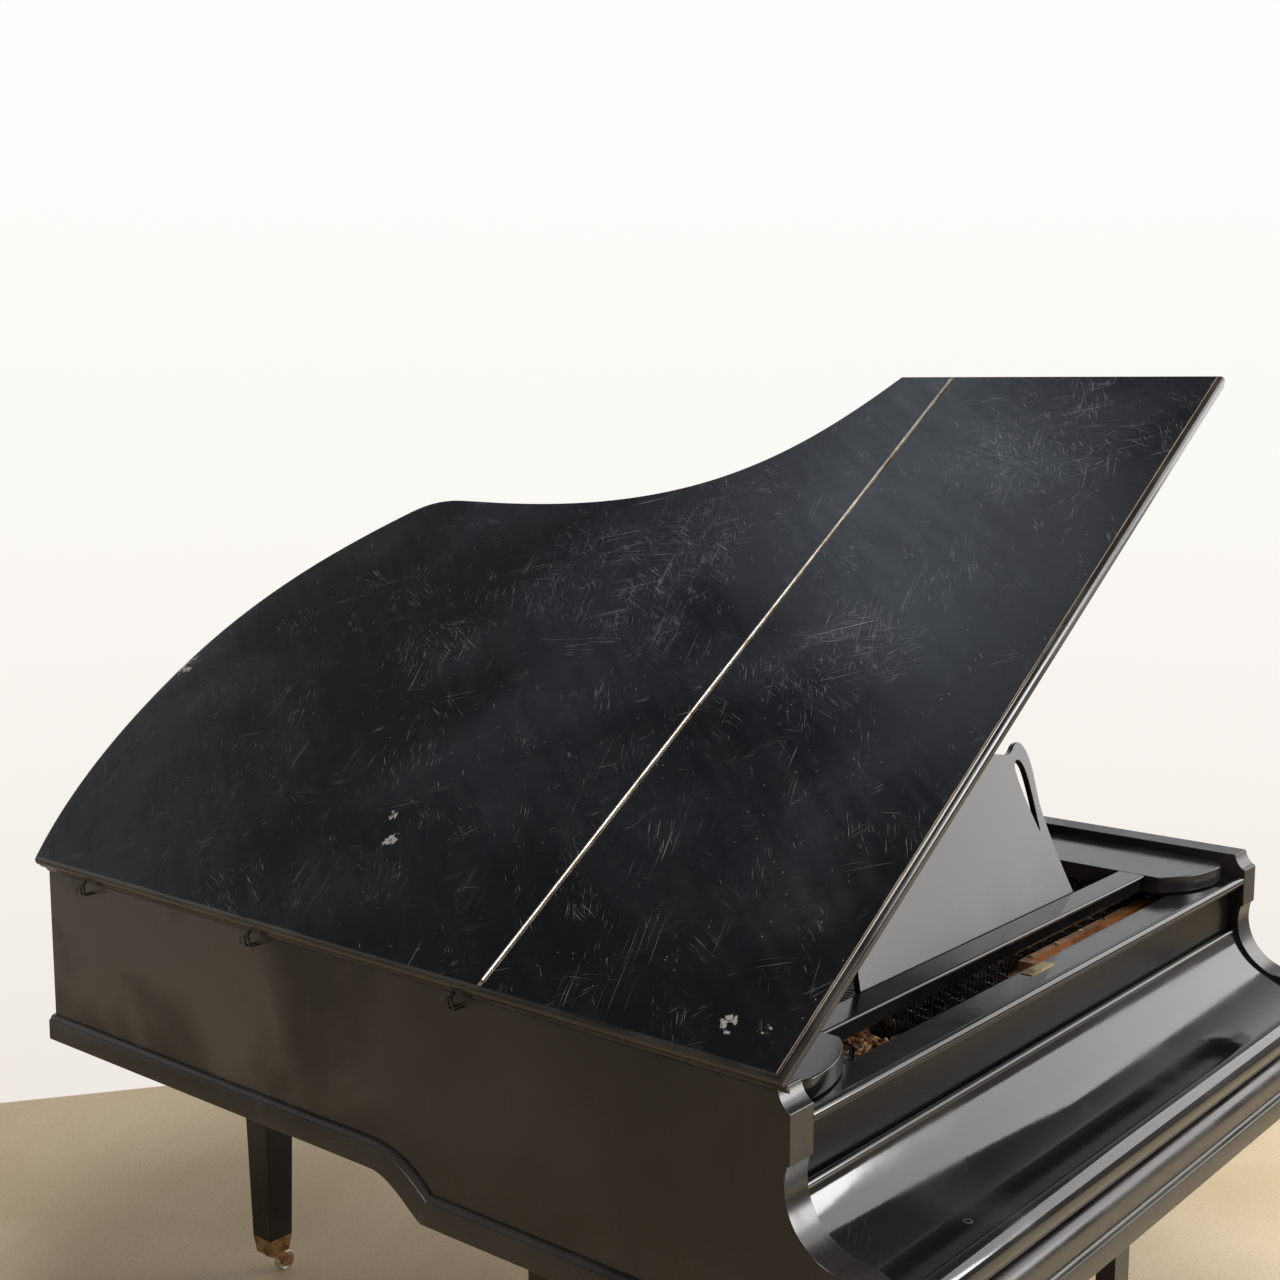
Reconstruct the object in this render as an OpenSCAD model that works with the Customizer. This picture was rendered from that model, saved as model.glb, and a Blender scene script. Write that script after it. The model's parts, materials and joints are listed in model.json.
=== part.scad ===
// Grand piano with a raised lid: case, lid, music desk, keyboard, action,
// strung back, three legs on casters and a pedal lyre. Millimetres, +Z up.
// The model's origin is on the floor, under the middle of its bounding box.

/* [Case] */
// Width of the case over its outer faces
case_w = 1480; // [1440:1:1800]
// Length of the case, from the arm fronts to the tail
case_l = 1697; // [1420:1:2050]
// Height of the rim's top edge above the floor
rim_top = 975; // [960:1:1010]
// Thickness of the rim and of the arms
rim_t = 52; // [44:1:58]
// Width of the tail part, from the spine to the waist
tail_w = 1040; // [980:1:1080]
// Length of the straight treble side
cheek_l = 607; // [590:1:640]
// Distance of the tail's rearmost point from the spine
apex_in = 490; // [440:1:540]
// How far the spine's corner lies ahead of the tail
corner_back = 121; // [100:1:140]
// Height of the case's lower edge at the tail
tail_bottom = 670; // [660:1:680]
// Height of the case's lower edge at the keyboard
front_bottom = 615; // [605:1:620]
// Height of the base moulding
moulding_h = 44; // [36:1:48]
// How far the base moulding stands proud of the case
moulding_out = 10; // [6:1:14]

/* [Keyboard] */
// Reach of the keybed in front of the arms' upper faces
bed_front = 180; // [176:1:190]
// Thickness of the keybed
bed_t = 40; // [36:1:40]
// Length of all the natural keys together, side by side
keys_w = 1228.8; // [1220:0.1:1235]
// Height of the natural keys' top above the floor
key_top = 710; // [706:1:714]
// Length of a sharp's playing part
sharp_l = 95; // [90:1:98]
// Gap between neighbouring keys
key_gap = 1; // [0.8:0.1:1.2]
// Depth to which a key is pressed
key_dip = 10; // [9:0.5:10]

/* [Lid] */
// Thickness of the lid
lid_t = 24.4; // [18:0.1:30]
// How far the lid overhangs the case
lid_over = 11; // [9:1:12]
// Angle at which the prop holds the lid
lid_angle = 33.64; // [33:0.01:34.5]
// Length of the folding front flap
flap_l = 504; // [470:1:540]
// Distance of the lid's hinge axis from the case's side
hinge_out = 22.8; // [21:0.1:26]
// Radius of the lid hinges' knuckles
knuckle_r = 6; // [5:0.5:7]
// Radius of the lid hinges' pins
pin_r = 2.5; // [2:0.1:3]
// Depth of the stop strip under the flap
stop_h = 13; // [10:1:16]

/* [Prop] */
// Radius of the prop stick
prop_r = 9; // [8:0.5:10]
// Distance of the prop's pivot from the rim's inner face
prop_in = 30; // [28:1:38]
// Distance along the case of the prop's pivot
prop_y = 1150; // [1140:1:1160]
// Height of the prop's pivot below the rim's top
prop_drop = 78; // [76:1:80]
// Distance of the prop's cup from the lid's hinge axis
cup_u = 740; // [720:1:745]
// Distance along the lid of the prop's cup
cup_v = 725; // [715:1:740]
// Thickness of the pad that the prop's head bears on
cup_t = 6; // [5:0.5:7]

/* [Music desk] */
// Width of the desk's panel at its foot
desk_w = 668; // [600:1:700]
// Height of the panel along its slope
desk_h = 268; // [262:1:290]
// Thickness of the panel
desk_t = 11; // [8:0.5:11]
// Slope of the panel from the horizontal
desk_slope = 70; // [66:1:74]
// Width of each side shelf
shelf_w = 182; // [150:1:190]
// Thickness of the shelves and the front rail
shelf_t = 29; // [24:1:29]
// Length of the side shelves
shelf_l = 410; // [390:1:420]

/* [Stringing] */
// Distance of the hammers' strike line from the arms' fronts
strike_y = 395; // [393:1:398]
// Speaking length of the shortest string
top_string = 52; // [48:1:54]
// Longest speaking length that the plain strings approach
plain_max = 1120; // [1050:1:1130]
// Height of the plain strings above the floor
string_z = 886; // [884:1:888]
// Height of the wound strings above the plain ones
cross_h = 17; // [15:1:17]
// Radius of a tuning pin
tuning_r = 3.5; // [3:0.1:3.6]
// Thickness of the soundboard
board_t = 8; // [7:0.5:9]

/* [Legs and lyre] */
// Width of a leg at its top
leg_top = 79; // [70:1:84]
// Width of a leg where it meets its sabot
leg_foot = 56; // [48:1:60]
// Height of the sabots' upper edge above the floor
sabot_top = 85; // [80:1:95]
// Height of a sabot
sabot_h = 35; // [30:1:36]
// Radius of the caster wheels
wheel_r = 20; // [17:1:21]
// Width of the caster wheels
wheel_w = 18; // [14:1:20]
// Distance of a wheel's axle from its swivel axis
trail = 28; // [27:1:34]
// Distance of the pedals from the middle of the lyre
pedal_x = 45; // [42:1:46]
// Width of a pedal's shank
pedal_w = 24; // [20:1:26]

/* [Hidden] */
$fn = 48;

lacquer = [0.07, 0.07, 0.08];
timber = [0.62, 0.44, 0.25];
spruce = [0.80, 0.62, 0.38];
bronze = [0.52, 0.32, 0.15];
brass = [0.72, 0.56, 0.28];
steel = [0.66, 0.67, 0.69];
felt_red = [0.50, 0.10, 0.10];
ivory = [0.90, 0.87, 0.78];
ebony = [0.06, 0.05, 0.05];

seat_gap = 0.3;   // between pieces that only rest on or stand beside each other
fit = 0.05;       // radial clearance of a running fit
e = 1;            // overlap that makes cuts clean

hw = case_w / 2;
inner_x = hw - rim_t;
bed_z = front_bottom + bed_t;
body_front = bed_front - moulding_out;
// Middle of the bounding box on the floor, from the middle of the arms' fronts
mid_x = (moulding_out - hinge_out - knuckle_r) / 2;
mid_y = (case_l + lid_over - bed_front) / 2;

// ---------- curves ----------

function unit(v) = v / norm(v);
function left(v) = [-v.y, v.x];
function bez_pt(c, t) = pow(1 - t, 3) * c[0] + 3 * pow(1 - t, 2) * t * c[1]
    + 3 * (1 - t) * t * t * c[2] + pow(t, 3) * c[3];
function bez_dir(c, t) = unit(pow(1 - t, 2) * (c[1] - c[0]) + 2 * (1 - t) * t * (c[2] - c[1])
    + t * t * (c[3] - c[2]));
function bez(c, n, first = 0) = [for (i = [first:n]) bez_pt(c, i / n)];
function inset_bez(c, n, d, first = 0) =
    [for (i = [first:n]) bez_pt(c, i / n) + d * left(bez_dir(c, i / n))];
// Shift of a corner between two edges, for an inset of 1
function corner_shift(a, b) = (left(a) + left(b)) / (1 + left(a) * left(b));
function mirrored(pts) = [for (i = [len(pts) - 1:-1:0]) [-pts[i].x, pts[i].y]];

// Outline of the case: straight treble side, concave bent side, shoulder, tail, spine
waist_x = -hw + tail_w;
apex_x = -hw + apex_in;
waist_y = case_l - 378;
bent = [[hw, cheek_l], [hw - 282, cheek_l + 102], [waist_x, cheek_l + 228], [waist_x, waist_y]];
shoulder = [[waist_x, case_l - 297], [waist_x, case_l - 242], [waist_x - 17, case_l - 213],
    [waist_x - 46, case_l - 190]];
tail_right = [[waist_x - 46, case_l - 190], [waist_x - 163, case_l - 100],
    [apex_x + 230, case_l], [apex_x, case_l]];
tail_left = [[apex_x, case_l], [apex_x - 180, case_l], [-hw + 142, case_l - corner_back / 3],
    [-hw, case_l - corner_back]];
cheek_corner = corner_shift([0, 1], bez_dir(bent, 0));
spine_corner = corner_shift(bez_dir(tail_left, 1), [0, -1]);

function body_line(d) = concat(
    [[hw, cheek_l] + d * cheek_corner],
    [for (p = inset_bez(bent, 18, d)) if (p.x < hw - d - 2) p],
    inset_bez(shoulder, 6, d),
    inset_bez(tail_right, 8, d, 1),
    [for (p = inset_bez(tail_left, 8, d, 1)) if (p.x > -hw + d + 2) p],
    [[-hw, case_l - corner_back] + d * spine_corner]);
function outline(d, front) = concat([[hw - d, front]], body_line(d), [[-hw + d, front]]);
// X of the bent side at a given Y, inset by d
function bent_x(y, d) = lookup(y, [for (p = inset_bez(bent, 18, d)) [p.y, p.x]]);

// Lower edge of the case: it steps down from the tail to the keyboard
step_low = [[cheek_l + 138, tail_bottom], [cheek_l + 98, tail_bottom - 2],
    [cheek_l + 71, tail_bottom - 30], [cheek_l + 33, front_bottom]];
// Upper edge of the base moulding over the same step
step_high = [[cheek_l + 18, front_bottom + moulding_h], [cheek_l + 48, tail_bottom + 20],
    [cheek_l + 83, tail_bottom + 40], [cheek_l + 138, tail_bottom + moulding_h]];

// ---------- placing ----------

module placed() {
    translate([-mid_x, -mid_y, 0]) children();
}
// Draws a profile of Y and Z along X, from x0 to x1
module along_x(x0, x1) {
    translate([x0, 0, 0]) rotate([90, 0, 90]) linear_extrude(x1 - x0) children();
}
module block(x, y, z) {
    translate([x[0], y[0], z[0]]) cube([x[1] - x[0], y[1] - y[0], z[1] - z[0]]);
}
// A rod between two points
module rod(a, b, r) {
    v = b - a;
    translate(a) rotate([0, acos(v.z / norm(v)), atan2(v.y, v.x)]) cylinder(h = norm(v), r = r);
}
module plate_of(pts, z0, z1) {
    translate([0, 0, z0]) linear_extrude(z1 - z0) polygon(pts);
}
module ring_of(outer, inner, z0, z1) {
    translate([0, 0, z0]) linear_extrude(z1 - z0) difference() {
        polygon(outer);
        polygon(inner);
    }
}
// Turns pieces drawn on the closed lid about the lid's hinge axis, up to the prop
hinge_x = -hw - hinge_out;
module lifted() {
    translate([hinge_x, 0, rim_top]) rotate([0, -lid_angle, 0])
        translate([-hinge_x, 0, -rim_top]) children();
}

// ---------- case ----------

cove_r = 90;
cove_y = -82;
cove_z = rim_top - 120;
arm_lip = bed_z + 97;
arm_root = 100;
arm_profile = concat(
    [[arm_root, front_bottom], [-body_front, front_bottom], [-body_front, arm_lip - 40]],
    bez([[-body_front, arm_lip - 40], [-body_front, arm_lip - 12], [-160, arm_lip],
        [-140, arm_lip]], 5),
    bez([[-140, arm_lip], [-115, arm_lip], [-100, cove_z - cove_r], [cove_y, cove_z - cove_r]], 4, 1),
    [for (a = [-80:10:10]) [cove_y + cove_r * cos(a), cove_z + cove_r * sin(a)]],
    [[4, cove_z + 27], [0, cove_z + 27], [0, rim_top - 26]],
    bez([[0, rim_top - 26], [9, rim_top - 23], [16, rim_top - 14], [19, rim_top]], 4, 1),
    [[arm_root, rim_top]]);

fall_y = 18;
fall_z = rim_top - 142;
fall_pin_r = 4;
fall_pin_l = 12;

module rim() {
    color(lacquer) placed() difference() {
        union() {
            ring_of(outline(0, arm_root), outline(rim_t, arm_root - e), front_bottom, rim_top);
            for (side = [-1, 1]) along_x(side > 0 ? inner_x : -hw, side > 0 ? hw : -inner_x)
                polygon(arm_profile);
        }
        // The lower edge steps up behind the keyboard
        along_x(-hw - e, hw + e) polygon(concat(
            [[case_l + e, tail_bottom]], bez(step_low, 8), [[cheek_l + 33, front_bottom - e],
            [case_l + e, front_bottom - e]]));
        for (side = [-1, 1])
            rod([side * (inner_x - e), fall_y, fall_z],
                [side * (inner_x + fall_pin_l + e), fall_y, fall_z], fall_pin_r + fit);
    }
}

liner_t = 45;
board_top = string_z - 43;
belly_y = 425;
belly_t = 30;
module inner_rim() {
    color(timber) placed()
        ring_of(outline(rim_t, belly_y + belly_t), outline(rim_t + liner_t, belly_y + belly_t - e),
            tail_bottom, board_top - board_t);
}

beam_z = [tail_bottom + 30, board_top - board_t - 45];
module case_beams() {
    color(timber) placed() {
        block([-inner_x, inner_x], [belly_y, belly_y + belly_t], [bed_z, board_top - board_t]);
        intersection() {
            plate_of(outline(rim_t + liner_t, belly_y + belly_t), beam_z[0], beam_z[1]);
            for (x = [-420, -60, 300])
                translate([x, belly_y, 0]) rotate([0, 0, 7 + (x + 420) / 60])
                    block([-30, 30], [-40, case_l], beam_z);
        }
    }
}

band_profile = concat(
    [[-bed_front, front_bottom], [-bed_front, front_bottom + moulding_h - 3],
        [-body_front + 5, front_bottom + moulding_h - 3], [-body_front + 5, front_bottom + moulding_h]],
    bez(step_high, 8),
    [[case_l + 20, tail_bottom + moulding_h], [case_l + 20, tail_bottom]],
    bez(step_low, 8));
module base_moulding() {
    color(lacquer) placed() intersection() {
        ring_of(outline(-moulding_out, -bed_front), outline(0, -body_front),
            front_bottom - e, tail_bottom + moulding_h + e);
        along_x(-hw - moulding_out - e, hw + moulding_out + e) polygon(band_profile);
    }
}

rod_y = 30;
rod_r = 4;
rod_hole = rod_r + 0.5;
module keybed() {
    color(lacquer) placed() difference() {
        block([-inner_x, inner_x], [-body_front, belly_y + belly_t + 5], [front_bottom, bed_z]);
        for (side = [-1, 1]) translate([side * pedal_x, rod_y, front_bottom - e])
            cylinder(h = bed_t + 2 * e, r = rod_hole);
    }
}

slip_y = -body_front - 2;
slip_top = key_top - 10;
module key_slip() {
    color(lacquer) placed() along_x(-inner_x, inner_x) polygon(concat(
        [[slip_y + 20, bed_z + 1.3], [slip_y, bed_z + 1.3]],
        bez([[slip_y, bed_z + 20], [slip_y, slip_top - 12], [slip_y + 6, slip_top],
            [slip_y + 18, slip_top]], 6),
        [[slip_y + 20, slip_top]]));
}

keys_side = keys_w / 2;
block_x = keys_side + 7.6;
module key_blocks() {
    color(lacquer) placed() for (side = [-1, 1])
        mirror([side < 0 ? 1 : 0, 0, 0])
            block([block_x, inner_x], [slip_y + 28, 20], [bed_z, key_top + 16]);
}

board_z = rim_top - 46;
bead_r = 8;
board_rear = 70;
name_front = 25;
module name_board() {
    color(lacquer) placed() along_x(-inner_x, inner_x) {
        translate([bead_r, board_z]) circle(r = bead_r, $fn = 32);
        translate([bead_r, board_z - 12]) square([board_rear - bead_r, 12]);
        translate([name_front, key_top + 26]) square([18, board_z - key_top - 27]);
    }
}

module label_plate() {
    color(brass) placed() difference() {
        block([-34, 40], [board_rear - 23, board_rear - 4], [board_z, board_z + 1.2]);
        for (x = [-30, 36]) translate([x, board_rear - 13.5, board_z - e])
            cylinder(h = 2 * e + 1.2, r = 1.2, $fn = 24);
    }
}

// ---------- strings: where they lie ----------

notes = 88;
bass_notes = 20;
tenor_end = 46;
treble_mid = 67;
strings_w = 1170;
bass_break = 45;
bar_break = 26;
string_pitch = (strings_w - bass_break - 2 * bar_break) / (notes - 4);
strike_part = 1 / 8;

function breaks(i) = (i > bass_notes ? bass_break - string_pitch : 0)
    + (i > tenor_end ? bar_break - string_pitch : 0)
    + (i > treble_mid ? bar_break - string_pitch : 0);
function strike_x(i) = -strings_w / 2 + (i - 1) * string_pitch + breaks(i);
function strike_pt(i) = [strike_x(i), strike_y];
function is_bass(i) = i <= bass_notes;
function grown(i) = top_string * pow(1.88, (notes - i) / 12);
function plain_length(i) = pow(pow(grown(i), -4) + pow(plain_max, -4), -1 / 4);
// The bass bridge lies behind the plain strings' hitches
bass_far = [-strings_w / 2 + 295, case_l - 257];
bass_near = [-strings_w / 2 + 495, case_l - 497];
function bass_bridge_pt(i) = bass_far + (bass_near - bass_far) * (i - 1) / (bass_notes - 1);
function plain_slant(i) = i < 60 ? -4 * (60 - i) / (60 - bass_notes - 1) : 0;
function string_dir(i) = is_bass(i) ? unit(bass_bridge_pt(i) - strike_pt(i))
    : [sin(plain_slant(i)), cos(plain_slant(i))];
function bridge_pt(i) = is_bass(i) ? bass_bridge_pt(i)
    : strike_pt(i) + plain_length(i) * (1 - strike_part) * string_dir(i);
function speaking(i) = norm(bridge_pt(i) - strike_pt(i)) / (1 - strike_part);
tenor_row = 108;
treble_row = 156;
row_step = 26;
function row_y(i) = (i <= tenor_end ? tenor_row : treble_row) + row_step * (i % 4);
// The agraffes stand clear of the last row of tuning pins, however long the strings are
agraffe_run = strike_y - row_y(3) - 40;
function agraffe_pt(i) = strike_pt(i) - min(speaking(i) * strike_part, agraffe_run) * string_dir(i);
hitch_run = 85;
function hitch_pt(i) = bridge_pt(i) + hitch_run * string_dir(i);
// Point of a string's line at a given Y
function on_string(i, y) = strike_pt(i) + string_dir(i) * (y - strike_y) / string_dir(i).y;
function wire_r(i) = is_bass(i) ? 1.8 - 0.04 * i : 0.6;
function wire_z(i) = string_z + (is_bass(i) ? cross_h : 0);

// ---------- strung back ----------

module soundboard() {
    color(spruce) placed() plate_of(outline(rim_t + 1, belly_y), board_top - board_t, board_top);
}

rib_h = 18;
module soundboard_ribs() {
    color(spruce) placed() intersection() {
        plate_of(outline(rim_t + liner_t + seat_gap, belly_y + belly_t + seat_gap),
            board_top - board_t - rib_h, board_top - board_t);
        for (k = [0:7]) translate([-hw, belly_y + belly_t - 500 + 190 * k, 0])
            rotate([0, 0, 38]) block([-100, 1700], [-11, 11],
                [board_top - board_t - rib_h, board_top - board_t]);
    }
}

bridge_w = 32;
function bridge_side(list, s) = [for (i = list) bridge_pt(i) + s * bridge_w / 2
    * left(unit(bridge_pt(min(i + 1, max(list))) - bridge_pt(max(i - 1, min(list)))))];
function bridge_line(list) = concat(bridge_side(list, 1),
    [for (k = [len(list) - 1:-1:0]) bridge_side(list, -1)[k]]);
plain_list = [for (i = [bass_notes + 1:3:notes]) i];
bass_list = [1, bass_notes];
module bridges() {
    color(timber) placed() {
        plate_of(bridge_line(concat(plain_list, [notes])), board_top, string_z - 0.6 - seat_gap);
        plate_of(bridge_line(bass_list), board_top, string_z + cross_h - 1.8 - seat_gap);
    }
}

plate_z = string_z - 18;
plate_t = 12;
plate_front = 74;
block_rear = 250;
module pin_block() {
    color(ebony) placed() difference() {
        block([-inner_x, inner_x], [60, block_rear], [plate_z - 32, plate_z]);
        for (i = [1:notes]) translate([on_string(i, row_y(i)).x, row_y(i), plate_z - 24])
            cylinder(h = 30, r = tuning_r, $fn = 16);
    }
}

// Web between the tuning pins of the tenor and of the treble
rib_x = (on_string(tenor_end, 170).x + on_string(tenor_end + 1, 170).x) / 2;
rib_half = 6;
// Openings of the iron plate
speaking_gap = concat([for (i = [1:3:notes]) agraffe_pt(i) - [0, 1]],
    [agraffe_pt(notes) + [14, -1], hitch_pt(notes) + [14, -18]],
    [for (i = [notes:-3:bass_notes + 2]) hitch_pt(i) - [0, 18]],
    [[-hw + 140, case_l - 400]]);
bass_gap = concat([for (i = [bass_notes + 2:3:40]) hitch_pt(i) + [12, 26]],
    [hitch_pt(bass_notes) + [30, -18], hitch_pt(1) + [10, -18], hitch_pt(1) + [-60, -10]]);
tenor_pins = concat([[-hw, 40], [-70, 40], [-70, 95], [rib_x - rib_half, 95],
    [rib_x - rib_half, row_y(tenor_end) + row_step / 2]], [for (i = [tenor_end:-5:1]) agraffe_pt(i) - [0, 24]], [[-hw, agraffe_pt(1).y - 24]]);
treble_pins = [[rib_x + rib_half, 148], [hw - 120, 148], [hw - 120, block_rear + 4],
    [rib_x + rib_half, block_rear + 4]];
agraffe_list = [for (i = [bass_notes + 1:3:notes]) i];
function bar_line(list) = concat([for (i = list) agraffe_pt(i) - [0, 10]],
    [for (k = [len(list) - 1:-1:0]) agraffe_pt(list[k]) - [0, 1]]);

// A bar of the plate: from the agraffes to the hitch web, beside note i
module plate_bar(i, shift, z0, z1, feet) {
    d = string_dir(i);
    a = on_string(i, agraffe_pt(i).y - 12) + [shift, 0];
    l = norm(hitch_pt(i) - on_string(i, agraffe_pt(i).y - 12)) + 10;
    translate([a.x, a.y, 0]) rotate([0, 0, atan2(d.y, d.x) - 90]) {
        block([-6, 6], [0, l], [z0, z1]);
        if (feet) {
            block([-6, 6], [0, 30], [plate_z + plate_t - e, z0 + e]);
            block([-6, 6], [l - 24, l], [plate_z + plate_t - e, z0 + e]);
        }
    }
}

bolt_steps = [2, 6, 10, 14, 18, 22, 26, 30, 34, 38];
flange_mid = rim_t + 24;
function bolt_pt(k) = body_line(flange_mid)[k];
front_bolts = [[-hw + rim_t + 26, 290], [-hw + rim_t + 26, 620], [-hw + rim_t + 26, 1100],
    [hw - rim_t - 26, 300], [hw - rim_t - 26, 460]];
bolt_r = 6;
plate_margin = 2;
bar_z = [string_z + 4, string_z + 16];

module iron_plate() {
    color(bronze) placed() difference() {
        union() {
            translate([0, 0, plate_z]) linear_extrude(plate_t) difference() {
                polygon(outline(rim_t + plate_margin, plate_front));
                polygon(speaking_gap);
                polygon(bass_gap);
                polygon(tenor_pins);
                polygon(treble_pins);
            }
            plate_of(bar_line(concat(agraffe_list, [notes])), plate_z + plate_t - e,
                string_z - 0.6 - seat_gap);
            plate_of(bar_line([1, 7, 14, bass_notes]), plate_z + plate_t - e,
                string_z + cross_h - 1.8 - seat_gap);
            plate_bar(bass_notes + 1, -bass_break / 3, plate_z, plate_z + plate_t, false);
            plate_bar(tenor_end, bar_break / 2, bar_z[0], bar_z[1], true);
            plate_bar(treble_mid, bar_break / 2, bar_z[0], bar_z[1], true);
            // Raised channel along the front of the treble half
            difference() {
                block([rib_x + 60, hw - 110], [plate_front + 10, 140],
                    [plate_z + plate_t - e, plate_z + plate_t + 20]);
                block([rib_x + 76, hw - 126], [plate_front + 26, 126],
                    [plate_z + plate_t + 6, plate_z + plate_t + 21]);
            }
        }
        for (p = concat([for (k = bolt_steps) bolt_pt(k)], front_bolts))
            translate([p.x, p.y, plate_z - e]) cylinder(h = plate_t + 2 * e, r = bolt_r + 0.2);
    }
}

module plate_bolts() {
    color(brass) placed()
        for (k = [0:len(bolt_steps) + len(front_bolts) - 1])
            let (p = k < len(bolt_steps) ? bolt_pt(bolt_steps[k]) : front_bolts[k - len(bolt_steps)],
                base = p.y < belly_y ? plate_z : board_top)
            translate([p.x, p.y, 0]) {
                if (base < plate_z)
                    translate([0, 0, base]) cylinder(h = plate_z - base, r = 13);
                translate([0, 0, base]) cylinder(h = plate_z + plate_t + e - base, r = bolt_r);
                translate([0, 0, plate_z + plate_t]) cylinder(h = 7, r = 11);
            }
}

pin_top = rim_top - 55;
module tuning_pins() {
    color(steel) placed() for (i = [1:notes])
        translate([on_string(i, row_y(i)).x, row_y(i), plate_z - 24])
            cylinder(h = pin_top - plate_z + 24, r = tuning_r, $fn = 16);
}

module string_wire(i) {
    front = on_string(i, row_y(i) + (tuning_r + seat_gap) * 1.02);
    rear = hitch_pt(i);
    rod([front.x, front.y, wire_z(i)], [rear.x, rear.y, wire_z(i)], wire_r(i), $fn = 16);
}
module bass_strings() {
    color(bronze) placed() for (i = [1:bass_notes]) string_wire(i);
}
module plain_strings() {
    color(steel) placed() for (i = [bass_notes + 1:notes]) string_wire(i);
}

damper_notes = 66;
damper_y = 408;
tray_y = [belly_y - 14, belly_y - 2];
tray_z = key_top + 42;
module dampers() {
    color(ebony) placed() {
        block([-inner_x + 60, inner_x - 200], tray_y, [tray_z, tray_z + 10]);
        for (i = [1:damper_notes]) let (
            p = on_string(i, damper_y + 16),
            w = on_string(i, (tray_y[0] + tray_y[1]) / 2),
            z = wire_z(i) + wire_r(i) + seat_gap) {
            translate([p.x, p.y, 0]) rotate([0, 0, -atan2(string_dir(i).x, string_dir(i).y)])
                block([-4.5, 4.5], [-16, 16], [z, z + 15]);
            translate([w.x + 3.2, w.y, tray_z + 10]) cylinder(h = z - tray_z - 9, r = 0.8, $fn = 16);
        }
    }
}

// ---------- keyboard and action ----------

white_w = keys_w / 52;
semitone = white_w * 7 / 12;
octave_w = white_w * 7;
key_front = slip_y + 30;
head_l = 50;
key_rear = 300;
key_low = key_top - 22;
balance_y = 75;
first_x = -keys_side - 5 * white_w;
white_steps = [0, 2, 4, 5, 7, 9, 11];
function step_of(n) = (n + 8) % 12;
function octave_x(n) = first_x + floor((n + 8) / 12) * octave_w;
function is_white(n) = len(search(step_of(n), white_steps)) > 0;
function head_index(n) = search(step_of(n), white_steps)[0];
stick_w = semitone - 2 * key_gap;

module stick(n, y0, w) {
    x = octave_x(n) + (step_of(n) + 0.5) * semitone;
    difference() {
        block([x - w / 2, x + w / 2], [y0, key_rear], [key_low, key_top - 4]);
        block([x - 2.3, x + 2.3], [balance_y - 3.5, balance_y + 3.5], [key_low - e, key_top]);
    }
}
module white_key(n) {
    x = octave_x(n) + head_index(n) * white_w;
    block([x + key_gap / 2, x + white_w - key_gap / 2], [key_front, key_front + head_l],
        [key_low, key_top]);
    stick(n, key_front + head_l - e, n == notes ? stick_w - 2 : stick_w);
    sx = octave_x(n) + (step_of(n) + 0.5) * semitone;
    block([sx - stick_w / 2 + 1, sx + stick_w / 2 - 1], [key_front + head_l - e, 6],
        [key_top - 5, key_top]);
}
module black_key(n) {
    x = octave_x(n) + (step_of(n) + 0.5) * semitone;
    y = key_front + head_l + 2;
    stick(n, y + 2, stick_w - 1);
    along_x(x - 5, x + 5) polygon([[y, key_top - 5], [y + 5, key_top + 11],
        [y + sharp_l, key_top + 12], [y + sharp_l, key_top - 5]]);
}
single_keys = [40, 41, 42];
module key_c() { color(ivory) placed() white_key(single_keys[0]); }
module key_c_sharp() { color(ebony) placed() black_key(single_keys[1]); }
module key_d() { color(ivory) placed() white_key(single_keys[2]); }
module white_keys() {
    color(ivory) placed() for (n = [1:notes])
        if (is_white(n) && len(search(n, single_keys)) == 0) white_key(n);
}
module black_keys() {
    color(ebony) placed() for (n = [1:notes])
        if (!is_white(n) && len(search(n, single_keys)) == 0) black_key(n);
}

frame_x = keys_side + 2.6;
rest_z = key_low - seat_gap;
back_y = [key_rear - 45, key_rear];
module key_frame() {
    low = bed_z + seat_gap;
    color(timber) placed() {
        block([-frame_x, frame_x], [key_front + 2, key_front + 42], [low, bed_z + 17]);
        // The balance rail falls away in front, where the pressed keys dip
        along_x(-frame_x, frame_x) polygon([[balance_y - 15, low], [balance_y - 15, rest_z - 1.5],
            [balance_y - 1, rest_z], [balance_y + 20, rest_z], [balance_y + 20, low]]);
        block([-frame_x, frame_x], back_y, [low, rest_z]);
        for (side = [-1, 1]) translate([side * (frame_x - 6), 0, 0])
            block([-6, 6], [key_front + 2, back_y[1]], [low, bed_z + 17]);
        // Balance pins, one under each key
        for (n = [1:notes])
            translate([octave_x(n) + (step_of(n) + 0.5) * semitone, balance_y, rest_z - e])
                cylinder(h = 15, r = 1.8, $fn = 16);
    }
}

hammer_y = 262;
shank_z = string_z - 92;
hammer_top = string_z - 48;
cheek_x = [[-frame_x, -frame_x + 5], [frame_x - 9, frame_x]];
rail_y = [[hammer_y - 22, hammer_y - 2], [150, 172]];
module action_frame() {
    color(brass) placed() for (c = cheek_x) difference() {
        block(c, [140, back_y[1]], [rest_z, shank_z + 14]);
        block([c[0] - e, c[1] + e], [185, hammer_y - 36], [rest_z + 40, shank_z - 20]);
    }
    color(timber) placed() {
        block([cheek_x[0][1], cheek_x[1][0]], rail_y[0], [shank_z - 12, shank_z + 6]);
        block([cheek_x[0][1], cheek_x[1][0]], [275, 295], [key_top + 22, key_top + 34]);
    }
}
module wippens() {
    color(spruce) placed() for (i = [1:notes]) {
        x = strike_x(i);
        block([x - 4.5, x + 4.5], [180, 275 - seat_gap], [key_top + 24, key_top + 32]);
        block([x - 3, x + 3], [196, 203], [key_top + 31, shank_z - 9]);
    }
}
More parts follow.
